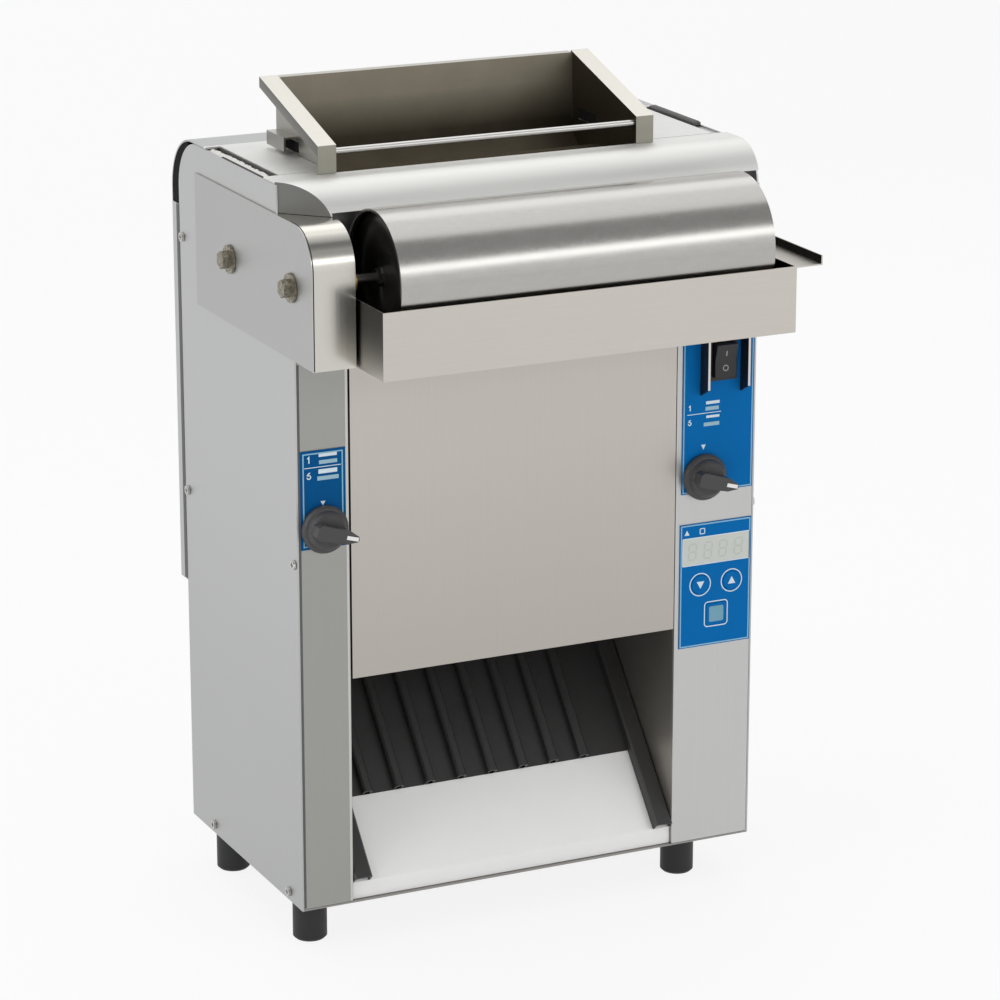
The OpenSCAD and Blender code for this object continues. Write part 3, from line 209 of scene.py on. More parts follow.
# %% Finishes
class Finish(Nodes):
    """One material, built node by node on a Principled shader."""

    def __init__(self, name, **constants):
        self.material = bpy.data.materials.new(name)
        self.material.use_nodes = True
        super().__init__(self.material.node_tree)
        self.shader = self.tree.nodes["Principled BSDF"]
        for socket, value in constants.items():
            self.shader.inputs[socket.replace("_", " ")].default_value = value

    def place(self, scale=(1, 1, 1)):
        """Where a point is in the piece's own frame, in metres, stretched."""
        spot = self.node("TexCoord", output="Object")
        return self.node("Mapping", None, {"Vector": spot, "Scale": scale})

    def along(self, axis):
        """Where a point is along one axis of the frame, in metres."""
        return self.node("SeparateXYZ", None, {"Vector": self.place()}, axis)

    def looks_to(self, axis):
        """How far a face looks along an axis, from -1 to 1."""
        facing = self.node("NewGeometry", output="Normal")
        return self.node("SeparateXYZ", None, {"Vector": facing}, axis)

    def noise(self, scale, size, detail, rough):
        """Cloudy noise from 0 to 1; scale is per metre along x, y and z."""
        return self.node("TexNoise", None, {"Vector": self.place(scale), "Scale": size,
                                            "Detail": detail, "Roughness": rough})

    def between(self, mask, low, high):
        """A number that goes from low to high as the mask goes from 0 to 1."""
        return mask * (high - low) + low

    def blend(self, mask, first, second):
        """The first colour where the mask is 0, the second where it is 1."""
        return self.node("Mix", {"data_type": "RGBA", "clamp_factor": True},
                         {0: mask, 6: first, 7: second}, output=2)

    def shades(self, mask, tint, low, high=1.0):
        """A tint at its low share where the mask is 0, its high at 1."""
        return self.blend(mask, tone(tint, low), tone(tint, high))

    def bump(self, height, depth):
        return self.node("Bump", None, {
            "Strength": 1.0, "Distance": depth, "Height": height})

    def wear(self, **surface):
        """Links what changes over the surface to the shader."""
        for socket, value in surface.items():
            key = socket.replace("_", " ")
            self.tree.links.new(value.socket, self.shader.inputs[key])
        return self.material


def tone(tint, share=1.0):
    """A colour at a share of its brightness, as the sockets take it."""
    return tuple(c * share for c in tint) + (1.0,)


print("finish helpers ready")

# %% [markdown]
# The floor and the wall behind it are one sweep of pale board. A flat floor would
# end in a line, so the board turns up into a wall on a round bend. Light Path
# lets the camera and the metal see it as nearly white, while it still takes the
# shadow under the feet.

# %% Studio sweep
SWEEP_SIZE, SWEEP_DEPTH, SWEEP_BEND = 9.0, 4.0, 1.5
BEND_STEPS = 16
BOARD_TINT = (0.8, 0.8, 0.8)
WHITE_TO_EYE, WHITE_TO_GLOSS = 0.86, 0.6


def sweep_board(name):
    """A floor that turns up into a wall on a round bend."""
    profile = [(-SWEEP_SIZE, 0.0)]
    for step in range(BEND_STEPS + 1):
        turn = math.radians(90 * step / BEND_STEPS)
        profile.append((SWEEP_DEPTH - SWEEP_BEND + SWEEP_BEND * math.sin(turn),
                        SWEEP_BEND - SWEEP_BEND * math.cos(turn)))
    profile.append((SWEEP_DEPTH, SWEEP_SIZE))
    corners = [(side * SWEEP_SIZE, y, z) for y, z in profile for side in (-1, 1)]
    faces = [(2 * i, 2 * i + 1, 2 * i + 3, 2 * i + 2) for i in range(len(profile) - 1)]
    mesh = bpy.data.meshes.new(name)
    mesh.from_pydata(corners, [], faces)
    for face in mesh.polygons:
        face.use_smooth = True
    made = bpy.data.objects.new(name, mesh)
    scene.collection.objects.link(made)
    return made


def board_finish():
    """Nearly white to the camera and to gloss, pale board to everything else."""
    finish = Finish("studio_board", Base_Color=tone(BOARD_TINT), Roughness=0.9)
    seen, gloss, through = [
        finish.node("LightPath", output="Is " + ray + " Ray")
        for ray in ("Camera", "Glossy", "Transmission")]
    white = (seen.larger(through) * WHITE_TO_EYE).larger(gloss * WHITE_TO_GLOSS)
    glow = finish.node("Emission", None, {"Color": tone((1, 1, 1)), "Strength": 1.0})
    pale = finish.first("Principled BSDF")
    mixed = finish.node("MixShader", None, {0: white, 1: pale, 2: glow})
    finish.show("Material Output", mixed)
    return finish.material


board = sweep_board("studio_sweep")
board.data.materials.append(board_finish())
print("sweep ready")

# %% [markdown]
# Steel shows the room more than its own colour, so each lamp is placed for its
# mirror image. A wide panel overhead and one on the left light the broad faces. A
# long panel at the front draws the bright line along the roller and the cap, and
# a dimmer one under it gives the middle tone below. The bare room between them
# makes the dark bands, so it is darker to the metal than to matt surfaces.

# %% Light
ROOM_GREY = 0.40
ROOM_FILL = 0.60
AIM = Vector((0, 0, 0.35))
LAMPS = {  # place in metres, width, height, watts
    "left_lamp": ((-3.4, -0.4, 1.9), 2.6, 2.6, 36),
    "top_lamp": ((0.0, 0.7, 3.3), 5.0, 3.8, 52),
    "front_lamp": ((1.55, -3.4, 1.82), 4.2, 0.74, 23),
    "low_front_lamp": ((1.55, -3.42, 0.86), 4.2, 1.14, 8),
}


def soft_lamp(name, place, width, height, power):
    """A rectangular soft lamp that points at the middle of the toaster."""
    data = bpy.data.lights.new(name, "AREA")
    data.shape = "RECTANGLE"
    data.size = width
    data.size_y = height
    data.energy = power
    lamp = bpy.data.objects.new(name, data)
    scene.collection.objects.link(lamp)
    lamp.location = place
    lamp.rotation_mode = "QUATERNION"
    lamp.rotation_quaternion = (AIM - Vector(place)).to_track_quat("-Z", "Y")


def light_room():
    """The world: white to the eye, grey to the metal, pale to matt surfaces."""
    world = bpy.data.worlds.new("room")
    world.use_nodes = True
    scene.world = world
    room = Nodes(world.node_tree)
    fill = room.tree.nodes["Background"].inputs["Color"]
    fill.default_value = tone((ROOM_FILL,) * 3)
    shade = room.first("Background")
    for ray, grey in (("Glossy", ROOM_GREY), ("Camera", 1.0)):
        seen = room.node("LightPath", output="Is " + ray + " Ray")
        other = room.node("Background", None, {"Color": tone((grey,) * 3)})
        shade = room.node("MixShader", None, {0: seen, 1: shade, 2: other})
    room.show("World Output", shade)


light_room()
for lamp_name, lamp in LAMPS.items():
    soft_lamp(lamp_name, *lamp)
print("lamps:", sorted(LAMPS))

# %% [markdown]
# Most of the body is stainless sheet, brushed along one direction. A picture of
# it would need unwrapped sheets. Long thin noise does not: its scale is low along
# the grain and high across it, and it moves colour, roughness and a very shallow
# bump. Near the floor the broad sheets mirror less of the lamps, so a painted
# shade darkens their colour there.

# %% Brushed stainless steel
GRAIN = {"x": (3, 260, 260), "y": (260, 3, 260), "z": (260, 260, 3)}
GRAIN_DEPTH = 0.03 * MM
STREAK = 0.05
LOW_SHADE_END, LOW_SHADE_RISE = 180 * MM, 240 * MM


def brushed(finish, way):
    """Grain that runs along x, y or z."""
    return finish.noise(GRAIN[way], 3.0, 3.0, 0.6)


def brushed_steel(name, tint, way, rough, low):
    """Stainless sheet with its grain along x, y or z, with painted shade low down."""
    finish = Finish(name, Metallic=1.0)
    grain = brushed(finish, way)
    cloud = finish.noise((6, 6, 6), 1.0, 3.0, 0.5)
    # Painted shade: the colour darkens towards the floor, where the sheets mirror less of the
    # lamps.
    height = ((finish.along(2) - LOW_SHADE_END) / LOW_SHADE_RISE).clamped()
    dark, pale = [
        finish.blend(height, tone(tint, share * low), tone(tint, share))
        for share in (1 - STREAK * 2, 1 + STREAK)]
    return finish.wear(
        Base_Color=finish.blend(grain * 0.6 + cloud * 0.4, dark, pale),
        Roughness=(grain - 0.5) * 0.16 + (cloud - 0.5) * 0.12 + rough,
        Normal=finish.bump(grain, GRAIN_DEPTH))


# The share low down is what the painted shade near the floor leaves of the tint.
BRUSHED = {  # material, tint, way of the grain, roughness, share low down
    "side": ("side_steel", (0.565, 0.567, 0.57), "z", 0.42, 0.90),
    "front": ("front_steel", (0.578, 0.548, 0.503), "z", 0.40, 0.84),
    # The left column is the same steel in a darker tint, a painted shade for the less light on
    # the left.
    "left_column": ("left_column_shaded_steel", (0.38, 0.38, 0.36), "z", 0.40, 1.0),
    "column": ("column_steel", (0.60, 0.60, 0.593), "z", 0.40, 1.0),
    # The bright strip on the left column's edge is a painted highlight of its folded edge.
    "bright": ("edge_highlight_steel", (0.62, 0.62, 0.60), "z", 0.4, 1.0),
    "inner": ("inner_steel", (0.34, 0.33, 0.31), "y", 0.42, 1.0),
    # The frame walls are paler and warmer than the inner steel, a painted reflection of the
    # buns that are not in the scene.
    "wall": ("wall_reflection_steel", (0.52, 0.49, 0.45), "y", 0.50, 1.0),
    "turned": ("turned_steel", (0.62, 0.61, 0.60), "x", 0.25, 1.0),
}
STOCK = {use: brushed_steel(*values) for use, values in BRUSHED.items()}
print("steels:", sorted(STOCK))

# %% [markdown]
# The buttering roller was rolled from thin sheet and polished by hand. Even steel
# would mirror the lamps like glass, so soft cells and blotches of noise give it a
# fine mottle.

# %% Roller skin
def rolled_skin():
    """Hand-polished stainless with a soft mottle."""
    finish = Finish("roller_skin", Metallic=1.0)
    blotch = finish.noise((60, 160, 160), 1.0, 3.0, 0.6)
    spot = finish.node("TexVoronoi", {"feature": "SMOOTH_F1"}, {
        "Vector": finish.place((500, 620, 620)), "Scale": 1.0})
    mottle = blotch * 0.6 + spot * 0.4
    return finish.wear(
        Base_Color=finish.blend(mottle, tone((0.43, 0.42, 0.40)), tone((0.51, 0.50, 0.48))),
        Roughness=(mottle - 0.5) * 0.14 + 0.24,
        Normal=finish.bump(mottle, 0.008 * MM))


STOCK["roller"] = rolled_skin()
print("roller skin ready")

# %% [markdown]
# Bolts and screws are plated steel with stains. The heads are small, so the noise
# is fine, and a soft threshold turns it into patches.

# %% Fixings
def fixing_steel(name, tint, stain, share):
    """Plated steel with darker stains over a share of it."""
    finish = Finish(name, Metallic=0.9)
    patch = finish.noise((400, 400, 400), 1.0, 4.0, 0.6)
    mask = ((patch - (1 - share)) * 3 + 0.3).clamped()
    return finish.wear(
        Base_Color=finish.blend(mask, tone(tint), tone(stain)),
        Roughness=finish.between(mask, 0.32, 0.6),
        Normal=finish.bump(patch, 0.03 * MM))


STOCK["bolt"] = fixing_steel("bolt_steel", (0.34, 0.32, 0.26), (0.13, 0.105, 0.065), 0.5)
STOCK["screw"] = fixing_steel("screw_steel", (0.60, 0.59, 0.56), (0.35, 0.33, 0.29), 0.3)
print("fixings ready")

# %% [markdown]
# Rubber, plastic, paint, film and castings differ in colour, gloss and grain size
# but are even all over. One function with those few values makes them all, so the
# table reads like a stock list.

# %% Moulded, cast and coated stock
def plain_material(name, tint, rough, metallic=0.0, fleck=0.12, depth=0.04,
                   size=900.0, shine=0.5):
    """Even stock: fine noise in its colour, gloss and bump."""
    finish = Finish(name, Metallic=metallic, Specular_IOR_Level=shine)
    fine = finish.noise((size, size, size), 1.0, 3.0, 0.6)
    cloud = finish.noise((25, 25, 25), 1.0, 2.0, 0.5)
    mask = fine * 0.6 + cloud * 0.4
    return finish.wear(
        Base_Color=finish.shades(mask, tint, 1 - fleck, 1 + fleck),
        Roughness=(mask - 0.5) * 0.2 + rough,
        Normal=finish.bump(fine, depth * MM))


METAL = {"metallic": 1.0}
FILM = {"fleck": 0.06, "depth": 0.01, "size": 500, "shine": 0.08}
PLAIN = {  # material, tint, roughness and what else differs
    "rubber": ("foot_rubber", (0.012, 0.012, 0.013), 0.5, {}),
    "nylon": ("black_nylon", (0.016, 0.016, 0.017), 0.38, {}),
    "trim": ("trim_rubber", (0.008, 0.008, 0.008), 0.75, {"shine": 0.1}),
    "rod": ("rod_steel", (0.66, 0.65, 0.63), 0.34,
            {"metallic": 1.0, "fleck": 0.04, "depth": 0.001}),
    # The axle is very dark steel, a painted shade for its place inside the roller.
    "axle": ("shaded_axle_steel", (0.16, 0.155, 0.15), 0.35, METAL),
    "knob": ("knob_plastic", (0.052, 0.051, 0.052), 0.42, {}),
    "chute": ("chute_coating", (0.036, 0.035, 0.035), 0.40, {"fleck": 0.25, "size": 300}),
    "landing": ("landing_plate_white", (0.93, 0.93, 0.92), 0.35, {"fleck": 0.02, "size": 60}),
    "label": ("label_blue", (0.0, 0.145, 0.44), 0.6, FILM),
    # The left label is the same blue film, darkened as painted shade for the less light on the
    # left column.
    "shaded_label": ("left_label_shaded_blue", (0.0, 0.085, 0.26), 0.6, FILM),
    "display": ("display_window", (0.60, 0.63, 0.595), 0.3,
                {"fleck": 0.05, "depth": 0.0, "size": 200}),
    "aluminium": ("cast_aluminium", (0.70, 0.70, 0.69), 0.42, METAL),
    "sheath": ("heater_sheath", (0.22, 0.20, 0.19), 0.5, {"metallic": 0.8}),
    "ptfe": ("release_cloth", (0.34, 0.20, 0.10), 0.42, {"fleck": 0.3, "size": 1500}),
    "belt": ("belt_silicone", (0.55, 0.53, 0.50), 0.55, {}),
    "gear": ("gear_acetal", (0.03, 0.03, 0.032), 0.35, {}),
    "bronze": ("bush_bronze", (0.50, 0.31, 0.13), 0.35, METAL),
    "chain": ("chain_steel", (0.22, 0.21, 0.20), 0.35, {"metallic": 0.95}),
    "motor": ("motor_paint", (0.10, 0.11, 0.12), 0.45, {}),
    "board": ("circuit_board", (0.02, 0.13, 0.05), 0.4, {}),
}
for use, (name, tint, rough, rest) in PLAIN.items():
    STOCK[use] = plain_material(name, tint, rough, **rest)
print("stock so far:", len(STOCK))

# %% [markdown]
# The feeder's plates are bright outside, but inside they are brown from heat and
# butter. Painting that would need an unwrapped mesh, so the side that a face
# looks to picks the colour. The outer sides also carry a painted shade in the
# corner under the sloped flange, their front faces a darker painted shade, and
# the rear plate's stain fades towards its top.

# %% Feeder steel
FEEDER_CLEAN = (0.62, 0.60, 0.55)
FEEDER_STAIN = (0.10, 0.085, 0.06)
FLANGE_SHADE_TINT, LEG_SHADE_TINT = (0.13, 0.13, 0.12), (0.34, 0.33, 0.28)
FLANGE_START = at(0, 46.0, 673.0)
FLANGE_SLOPE = 36.0 / 122.0
FLANGE_SHADE = 26 * MM
PLATE_STAIN = (0.34, 0.31, 0.24)
PLATE_LOW, PLATE_RISE = 652 * MM, 34 * MM


def stained_inside(name, axis, sign, side_plate):
    """Steel that is stained where it looks along the axis by that sign."""
    finish = Finish(name, Metallic=1.0)
    grain = brushed(finish, "x")
    cloud = finish.noise((30, 30, 30), 1.0, 4.0, 0.6)
    facing = finish.looks_to(axis) * sign
    inward = facing.above(0.5)
    pale = finish.shades(grain, FEEDER_CLEAN, 0.92)
    brown = finish.shades(cloud, FEEDER_STAIN, 0.6)
    if side_plate:
        pale = shaded_by_flange(finish, pale, facing)
    else:
        brown = faded_upwards(finish, brown, cloud)
    return finish.wear(
        Base_Color=finish.blend(inward, pale, brown),
        Roughness=finish.between(inward, 0.32, 0.5) + (grain - 0.5) * 0.1,
        Normal=finish.bump(grain, 0.02 * MM))


def shaded_by_flange(finish, pale, facing):
    """Painted shade on the outer side under its flange and on its front edge."""
    corner = ((finish.along(1) - FLANGE_START.y) * FLANGE_SLOPE
              + FLANGE_START.z - finish.along(2)) / FLANGE_SHADE
    outward = (facing * -1).above(0.5)
    # Painted shade: darker in the corner under the flange, and on faces that look forward.
    dull = ((1 - corner).clamped() * 0.4 + 0.58) * outward
    forward = (finish.looks_to(1) * -1).above(0.5)
    pale = finish.blend(dull, pale, tone(FLANGE_SHADE_TINT))
    return finish.blend(forward, pale, tone(LEG_SHADE_TINT))


def faded_upwards(finish, brown, cloud):
    """A stain that turns pale from the rollers up."""
    height = ((finish.along(2) - PLATE_LOW) / PLATE_RISE).clamped()
    return finish.blend(height, brown, finish.shades(cloud, PLATE_STAIN, 0.75))


for side, sign in (("left", 1), ("right", -1)):
    STOCK["feeder_" + side] = stained_inside(
        "feeder_" + side + "_steel", 0, sign, side_plate=True)
STOCK["stained"] = stained_inside("feeder_rear_steel", 1, -1, side_plate=False)
print("feeder steel ready")

# %% [markdown]
# The switch guard is black paint on steel, cut after it was painted, so its front
# edges are bare. The depth of a point tells the two apart, and one mask sets both
# colour and Metallic.

# %% Guard paint
GUARD_EDGE = at(0, -13.4, 0).y


def cut_edge_paint(name, paint, metal):
    """Black paint with bare metal on the faces in front of the guard's edge."""
    finish = Finish(name)
    fine = finish.noise((700, 700, 700), 1.0, 3.0, 0.6)
    bare = 1 - finish.along(1).above(GUARD_EDGE)
    return finish.wear(
        Base_Color=finish.blend(bare, tone(paint), tone(metal)),
        Metallic=bare,
        Roughness=(fine - 0.5) * 0.2 + 0.42,
        Normal=finish.bump(fine, 0.02 * MM))


STOCK["guard"] = cut_edge_paint("guard_paint", (0.008, 0.008, 0.009), (0.72, 0.70, 0.66))
print("guard edge at", round(GUARD_EDGE, 4))

# %% [markdown]
# The cap is a satin side plate with a polished front strip bent round it. Where
# the strip bends it mirrors a dark band of the room, wider than the lamps alone
# can draw, so a painted reflection darkens its colour where a face leans by that
# much. The faces that look towards the pan carry a dark painted shade.

# %% Cap steel
BEND_LEAN, BEND_BAND = 0.68, 0.16


def cap_finish(name, flat, strip_tint, inner_shade):
    """One tone on the flat side, one on the strip, and a painted shade towards the pan."""
    finish = Finish(name, Metallic=1.0)
    grain = brushed(finish, "z")
    cloud = finish.noise((7, 7, 7), 1.0, 3.0, 0.5)
    facing = finish.looks_to(0)
    outward = (facing * -1).above(0.5)
    front = finish.shades(grain, strip_tint, 0.94)
    steep = (finish.looks_to(2) - BEND_LEAN) / BEND_BAND
    band = (1 - steep * steep).clamped()
    # Painted reflection: a dark band in the colour where the strip bends.
    front = finish.blend(band, front, tone(strip_tint, 0.45))
    side = finish.shades(grain * 0.5 + cloud * 0.5, flat, 0.93)
    return finish.wear(
        # Painted shade: faces that look towards the pan get a near-black tint.
        Base_Color=finish.blend(facing.above(0.5),
                                finish.blend(outward, front, side),
                                tone(inner_shade)),
        Roughness=finish.between(outward, 0.22, 0.42) + (grain - 0.5) * 0.1,
        Normal=finish.bump(grain, 0.02 * MM))


STOCK["cap"] = cap_finish("cap_steel", (0.50, 0.505, 0.50),
                          (0.66, 0.64, 0.59), (0.05, 0.048, 0.045))
print("cap steel ready")

# %% [markdown]
# The hood is the brightest sheet, streaky along its length. Its left corner is
# cut off, and that cheek looks left and forward, so a painted shade darkens it.

# %% Hood steel
def hood_finish(name, tint, cheek):
    """Streaky bright sheet with a painted shade on the cheek that looks left and forward."""
    finish = Finish(name, Metallic=1.0)
    grain = brushed(finish, "x")
    cloud = finish.noise((4, 26, 26), 1.0, 4.0, 0.6)
    mix = grain * 0.35 + cloud * 0.65
    sheet = finish.shades(mix, tint, 0.82)
    cheek_shade_mask = (finish.looks_to(0) * -1).above(0.4) * (finish.looks_to(1) * -1).above(0.4)
    return finish.wear(
        # Painted shade: the cheek that looks left and forward takes the dark tint.
        Base_Color=finish.blend(cheek_shade_mask, sheet, tone(cheek)),
        Roughness=(grain - 0.5) * 0.16 + (cloud - 0.5) * 0.2 + 0.56,
        Normal=finish.bump(mix, 0.03 * MM))


STOCK["hood"] = hood_finish("hood_steel", (0.85, 0.85, 0.83), (0.21, 0.21, 0.20))
print("hood steel ready")

# %% [markdown]
# The pan under the roller is brushed sheet. Its left end faces the dark inside of
# the cap and mirrors it, so a painted reflection darkens it from its rim down: a
# point's height between the pan's floor and rim, read from the frame, sets how
# dark it is.

# %% Pan steel
PAN_FLOOR, PAN_RIM = [corner[2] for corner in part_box("butter_pan")]


def pan_finish(name, tint, end_shade_tint):
    """Brushed sheet whose left end has a dark painted reflection from its rim down."""
    finish = Finish(name, Metallic=1.0)
    grain = brushed(finish, "x")
    cloud = finish.noise((6, 6, 6), 1.0, 3.0, 0.5)
    left_end = (finish.looks_to(0) * -1).above(0.5)
    sheet = finish.shades(grain * 0.6 + cloud * 0.4, tint, 0.9, 1.05)
    depth = ((PAN_RIM - finish.along(2)) / (PAN_RIM - PAN_FLOOR)).clamped()
    # Painted reflection: the left end is darker towards the rim.
    shaded_end = finish.blend(depth ** 3.5, tone(end_shade_tint), sheet)
    return finish.wear(
        Base_Color=finish.blend(left_end, sheet, shaded_end),
        Roughness=(grain - 0.5) * 0.12 + 0.38,
        Normal=finish.bump(grain, GRAIN_DEPTH))


STOCK["pan"] = pan_finish("pan_steel", (0.63, 0.598, 0.55), (0.022, 0.022, 0.018))
print("pan from", round(PAN_FLOOR, 4), "to", round(PAN_RIM, 4))

# %% [markdown]
# Every CAD piece keeps its shape, and only its material slots change. Most
# finishes serve several pieces, so the table runs from finish to pieces. What it
# leaves out is printed, so that no piece stays plain by mistake.

# %% Dress the CAD pieces
DRESS = {
    "side": ["left_side_panel", "right_side_panel", "rear_cover"],
    "front": ["front_cover"],
    "left_column": ["left_column"],
    "column": ["right_column", "recess_panel"],
    "pan": ["butter_pan"],
    "hood": ["hood"],
    "cap": ["side_cap"],
    "feeder_left": ["feeder_left_side"],
    "feeder_right": ["feeder_right_side"],
    "stained": ["feeder_rear_plate", "feeder_divider"],
    "wall": ["left_frame_plate", "right_frame_plate"],
    "inner": ["base_plate", "rear_panel", "roller_bracket",
              "front_pressure_plate", "rear_pressure_plate"],
    "rod": ["feeder_rod"],
    "turned": ["front_drive_roller", "rear_drive_roller",
               "front_idler_roller", "rear_idler_roller", "shaft_sprocket",
               "motor_sprocket"],
    "axle": ["roller_axle"],
    "guard": ["switch_guard"],
    "roller": ["butter_roller"],
    "bolt": ["cap_bolts"],
    "screw": ["panel_screws"],
    "rubber": ["feet"],
    "trim": ["corner_trims"],
    "nylon": ["cord_gland", "power_switch", "switch_rocker"],
    "knob": ["left_knob", "right_knob"],
    "chute": ["ribbed_chute"],
    "landing": ["landing_plate"],
    "shaded_label": ["left_label"],
    "label": ["right_label", "control_label", "down_key", "up_key", "start_key"],
    "display": ["display"],
    "aluminium": ["heated_platen"],
    "sheath": ["heating_element"],
    "ptfe": ["release_sheet"],
    "belt": ["front_belt", "rear_belt"],
    "gear": ["front_drive_gear", "rear_drive_gear"],
    "bronze": ["shaft_bushes"],
    "chain": ["drive_chain"],
    "motor": ["gear_motor"],
    "board": ["control_board"],
}


def dress(node, material):
    """Gives every slot of a CAD node one finish."""
    mesh = NODES[node].data
    if not mesh.materials:
        mesh.materials.append(material)
    for index in range(len(mesh.materials)):
        mesh.materials[index] = material


for finish_name, nodes in DRESS.items():
    for node in nodes:
        dress(node, STOCK[finish_name])
undressed = set(NODES) - {n for nodes in DRESS.values() for n in nodes}
print("dressed", len(NODES) - len(undressed), "undressed", sorted(undressed))

# %% [markdown]
# The small pieces below are too fine for the CAD model. Modifiers could shape
# them, but lists of corners and faces say exactly what is there. bmesh turns
# every face outwards, and each piece rides on the body that carries it.


def add_piece(name, corners, faces, material, body, smooth=False):
    """Makes a mesh piece from millimetre corners and lets it ride on a body."""
    mesh = bpy.data.meshes.new(name)
    mesh.from_pydata([at(*corner) for corner in corners], [], faces)
    shell = bmesh.new()
    shell.from_mesh(mesh)
    bmesh.ops.recalc_face_normals(shell, faces=shell.faces)
    shell.to_mesh(mesh)
    shell.free()
    for face in mesh.polygons:
        face.use_smooth = smooth
    mesh.materials.append(material)
    piece = bpy.data.objects.new(name, mesh)
    scene.collection.objects.link(piece)
    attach(piece, body)


def slab(outline, thickness, corners, faces):
    """Adds a thin closed slab over a loop of corners and their normals."""
    first = len(corners)
    count = len(outline)
    corners.extend([c for c, _ in outline])
    corners.extend([tuple(a + b * thickness for a, b in zip(c, n)) for c, n in outline])
    faces.append(tuple(range(first, first + count)))
    faces.append(tuple(range(first + 2 * count - 1, first + count - 1, -1)))
    for i in range(count):
        j = (i + 1) % count
        faces.append((first + i, first + j, first + count + j, first + count + i))


# %% [markdown]
# The labels are printed film. A texture would blur close up, and a text object
# brings a typeface along, so each mark is drawn with a few pen strokes: a path
# becomes four-cornered pieces whose ends meet at each bend.

# %% Strokes of ink
def stroke(points, width, closed=False):
    """Four-cornered pieces of line between points, mitred at the bends."""
    points = [Vector(p) for p in points]
    count = len(points)
    sides = []
    for i, here in enumerate(points):
        before = points[i - 1] if closed or i else None
        after = points[(i + 1) % count] if closed or i < count - 1 else None
        way_in = (here - before).normalized() if before is not None else None
        way_out = (after - here).normalized() if after is not None else None
        way = ((way_in or way_out) + (way_out or way_in)).normalized()
        square = Vector((-way.y, way.x))
        single = way_out or way_in
        lean = max(0.4, abs(square.dot(Vector((-single.y, single.x)))))
        sides.append((here + square * width / 2 / lean, here - square * width / 2 / lean))
    shapes = []
    for i in range(count if closed else count - 1):
        a, b = sides[i], sides[(i + 1) % count]
        shapes.append([tuple(a[0]), tuple(b[0]), tuple(b[1]), tuple(a[1])])
    return shapes


def bar(x0, x1, z0, z1):
    """A filled rectangle."""
    return [[(x0, z0), (x1, z0), (x1, z1), (x0, z1)]]


def arc(x, z, radius, start, stop, steps):
    """Points along an arc, in degrees."""
    turns = [math.radians(start + (stop - start) * i / steps) for i in range(steps + 1)]
    return [(x + radius * math.cos(t), z + radius * math.sin(t)) for t in turns]


print("pen ready")

# %% [markdown]
# Rings, frames and figures are strokes along arcs and lines. The figures 1 and 6
# are drawn from their half height, so they keep their proportions.

# %% Drawn shapes
def ring(x, z, radius, width):
    """A circle drawn with a pen."""
    return stroke(arc(x, z, radius, 0, 360, 48)[:-1], width, closed=True)


def corner_arcs(x0, x1, z0, z1, radius, steps):
    """The outline of a rectangle with round corners."""
    points = []
    for x, z, start in ((x1 - radius, z1 - radius, 0),
                        (x0 + radius, z1 - radius, 90),
                        (x0 + radius, z0 + radius, 180),
                        (x1 - radius, z0 + radius, 270)):
        points += arc(x, z, radius, start, start + 90, steps)
    return points


def round_frame(x0, x1, z0, z1, radius, width):
    """A rectangle with round corners, drawn with a pen."""
    return stroke(corner_arcs(x0, x1, z0, z1, radius, 6), width, closed=True)


def numeral(figure, x, z, height, width):
    """A plain 1 or 6 about its middle."""
    h = height / 2
    if figure == 1:
        return stroke([(x - 0.45 * h, z + 0.5 * h), (x + 0.1 * h, z + h),
                       (x + 0.1 * h, z - h)], width)
    bowl = arc(x, z - 0.4 * h, 0.58 * h, 0, 360, 20)[:-1]
    tail = [(x + 0.42 * h, z + h), (x - 0.1 * h, z + 0.8 * h),
            (x - 0.5 * h, z + 0.25 * h), (x - 0.58 * h, z - 0.4 * h)]
    return stroke(bowl, width, closed=True) + stroke(tail, width)


print("a ring has", len(ring(0, 0, 1, 0.1)), "strokes")

# %% [markdown]
# Ink stands a tenth of a millimetre proud of its film. Each flat shape becomes a
# thin slab on a face that is given by a place and two directions, so its edges
# stay sharp at any distance.

# %% Ink on a face
LABEL_FACE = -0.7
PRINT_LIFT = 0.12
INK_TABLE = {  # material, tint, fleck, shine
    "white": ("label_ink", (0.70, 0.80, 0.86), 0.10, 0.2),
    "pale": ("border_ink", (0.26, 0.50, 0.66), 0.10, 0.2),
    "bar": ("bar_ink", (0.34, 0.52, 0.62), 0.15, 0.2),
    "mark": ("mark_ink", (0.86, 0.86, 0.85), 0.04, 0.5),
    "rocker": ("rocker_ink", (0.30, 0.30, 0.31), 0.10, 0.5),
}
INK = {use: plain_material(name, tint, 0.5, fleck=fleck, depth=0.01, shine=shine)
       for use, (name, tint, fleck, shine) in INK_TABLE.items()}


def lay_print(name, shapes, ink, body, origin=(0, LABEL_FACE, 0),
              across=(1, 0, 0), upward=(0, 0, 1), lift=PRINT_LIFT):
    """Lays flat shapes on a face and lets them ride on its body."""
    origin, across, upward = Vector(origin), Vector(across), Vector(upward)
    outward = across.cross(upward).normalized()
    corners, faces = [], []
    for shape in shapes:
        loop = [(tuple(origin + across * x + upward * z), outward) for x, z in shape]
        slab(loop, lift, corners, faces)
    add_piece(name, corners, faces, ink, body)


print("inks:", sorted(INK))

# %% [markdown]
# Each knob has a scale on its label: a thin line between two pairs of bars, with
# 1 above it and 6 below, and an arrow over the knob. Only the places differ
# between the two scales, so both are drawn from one table.

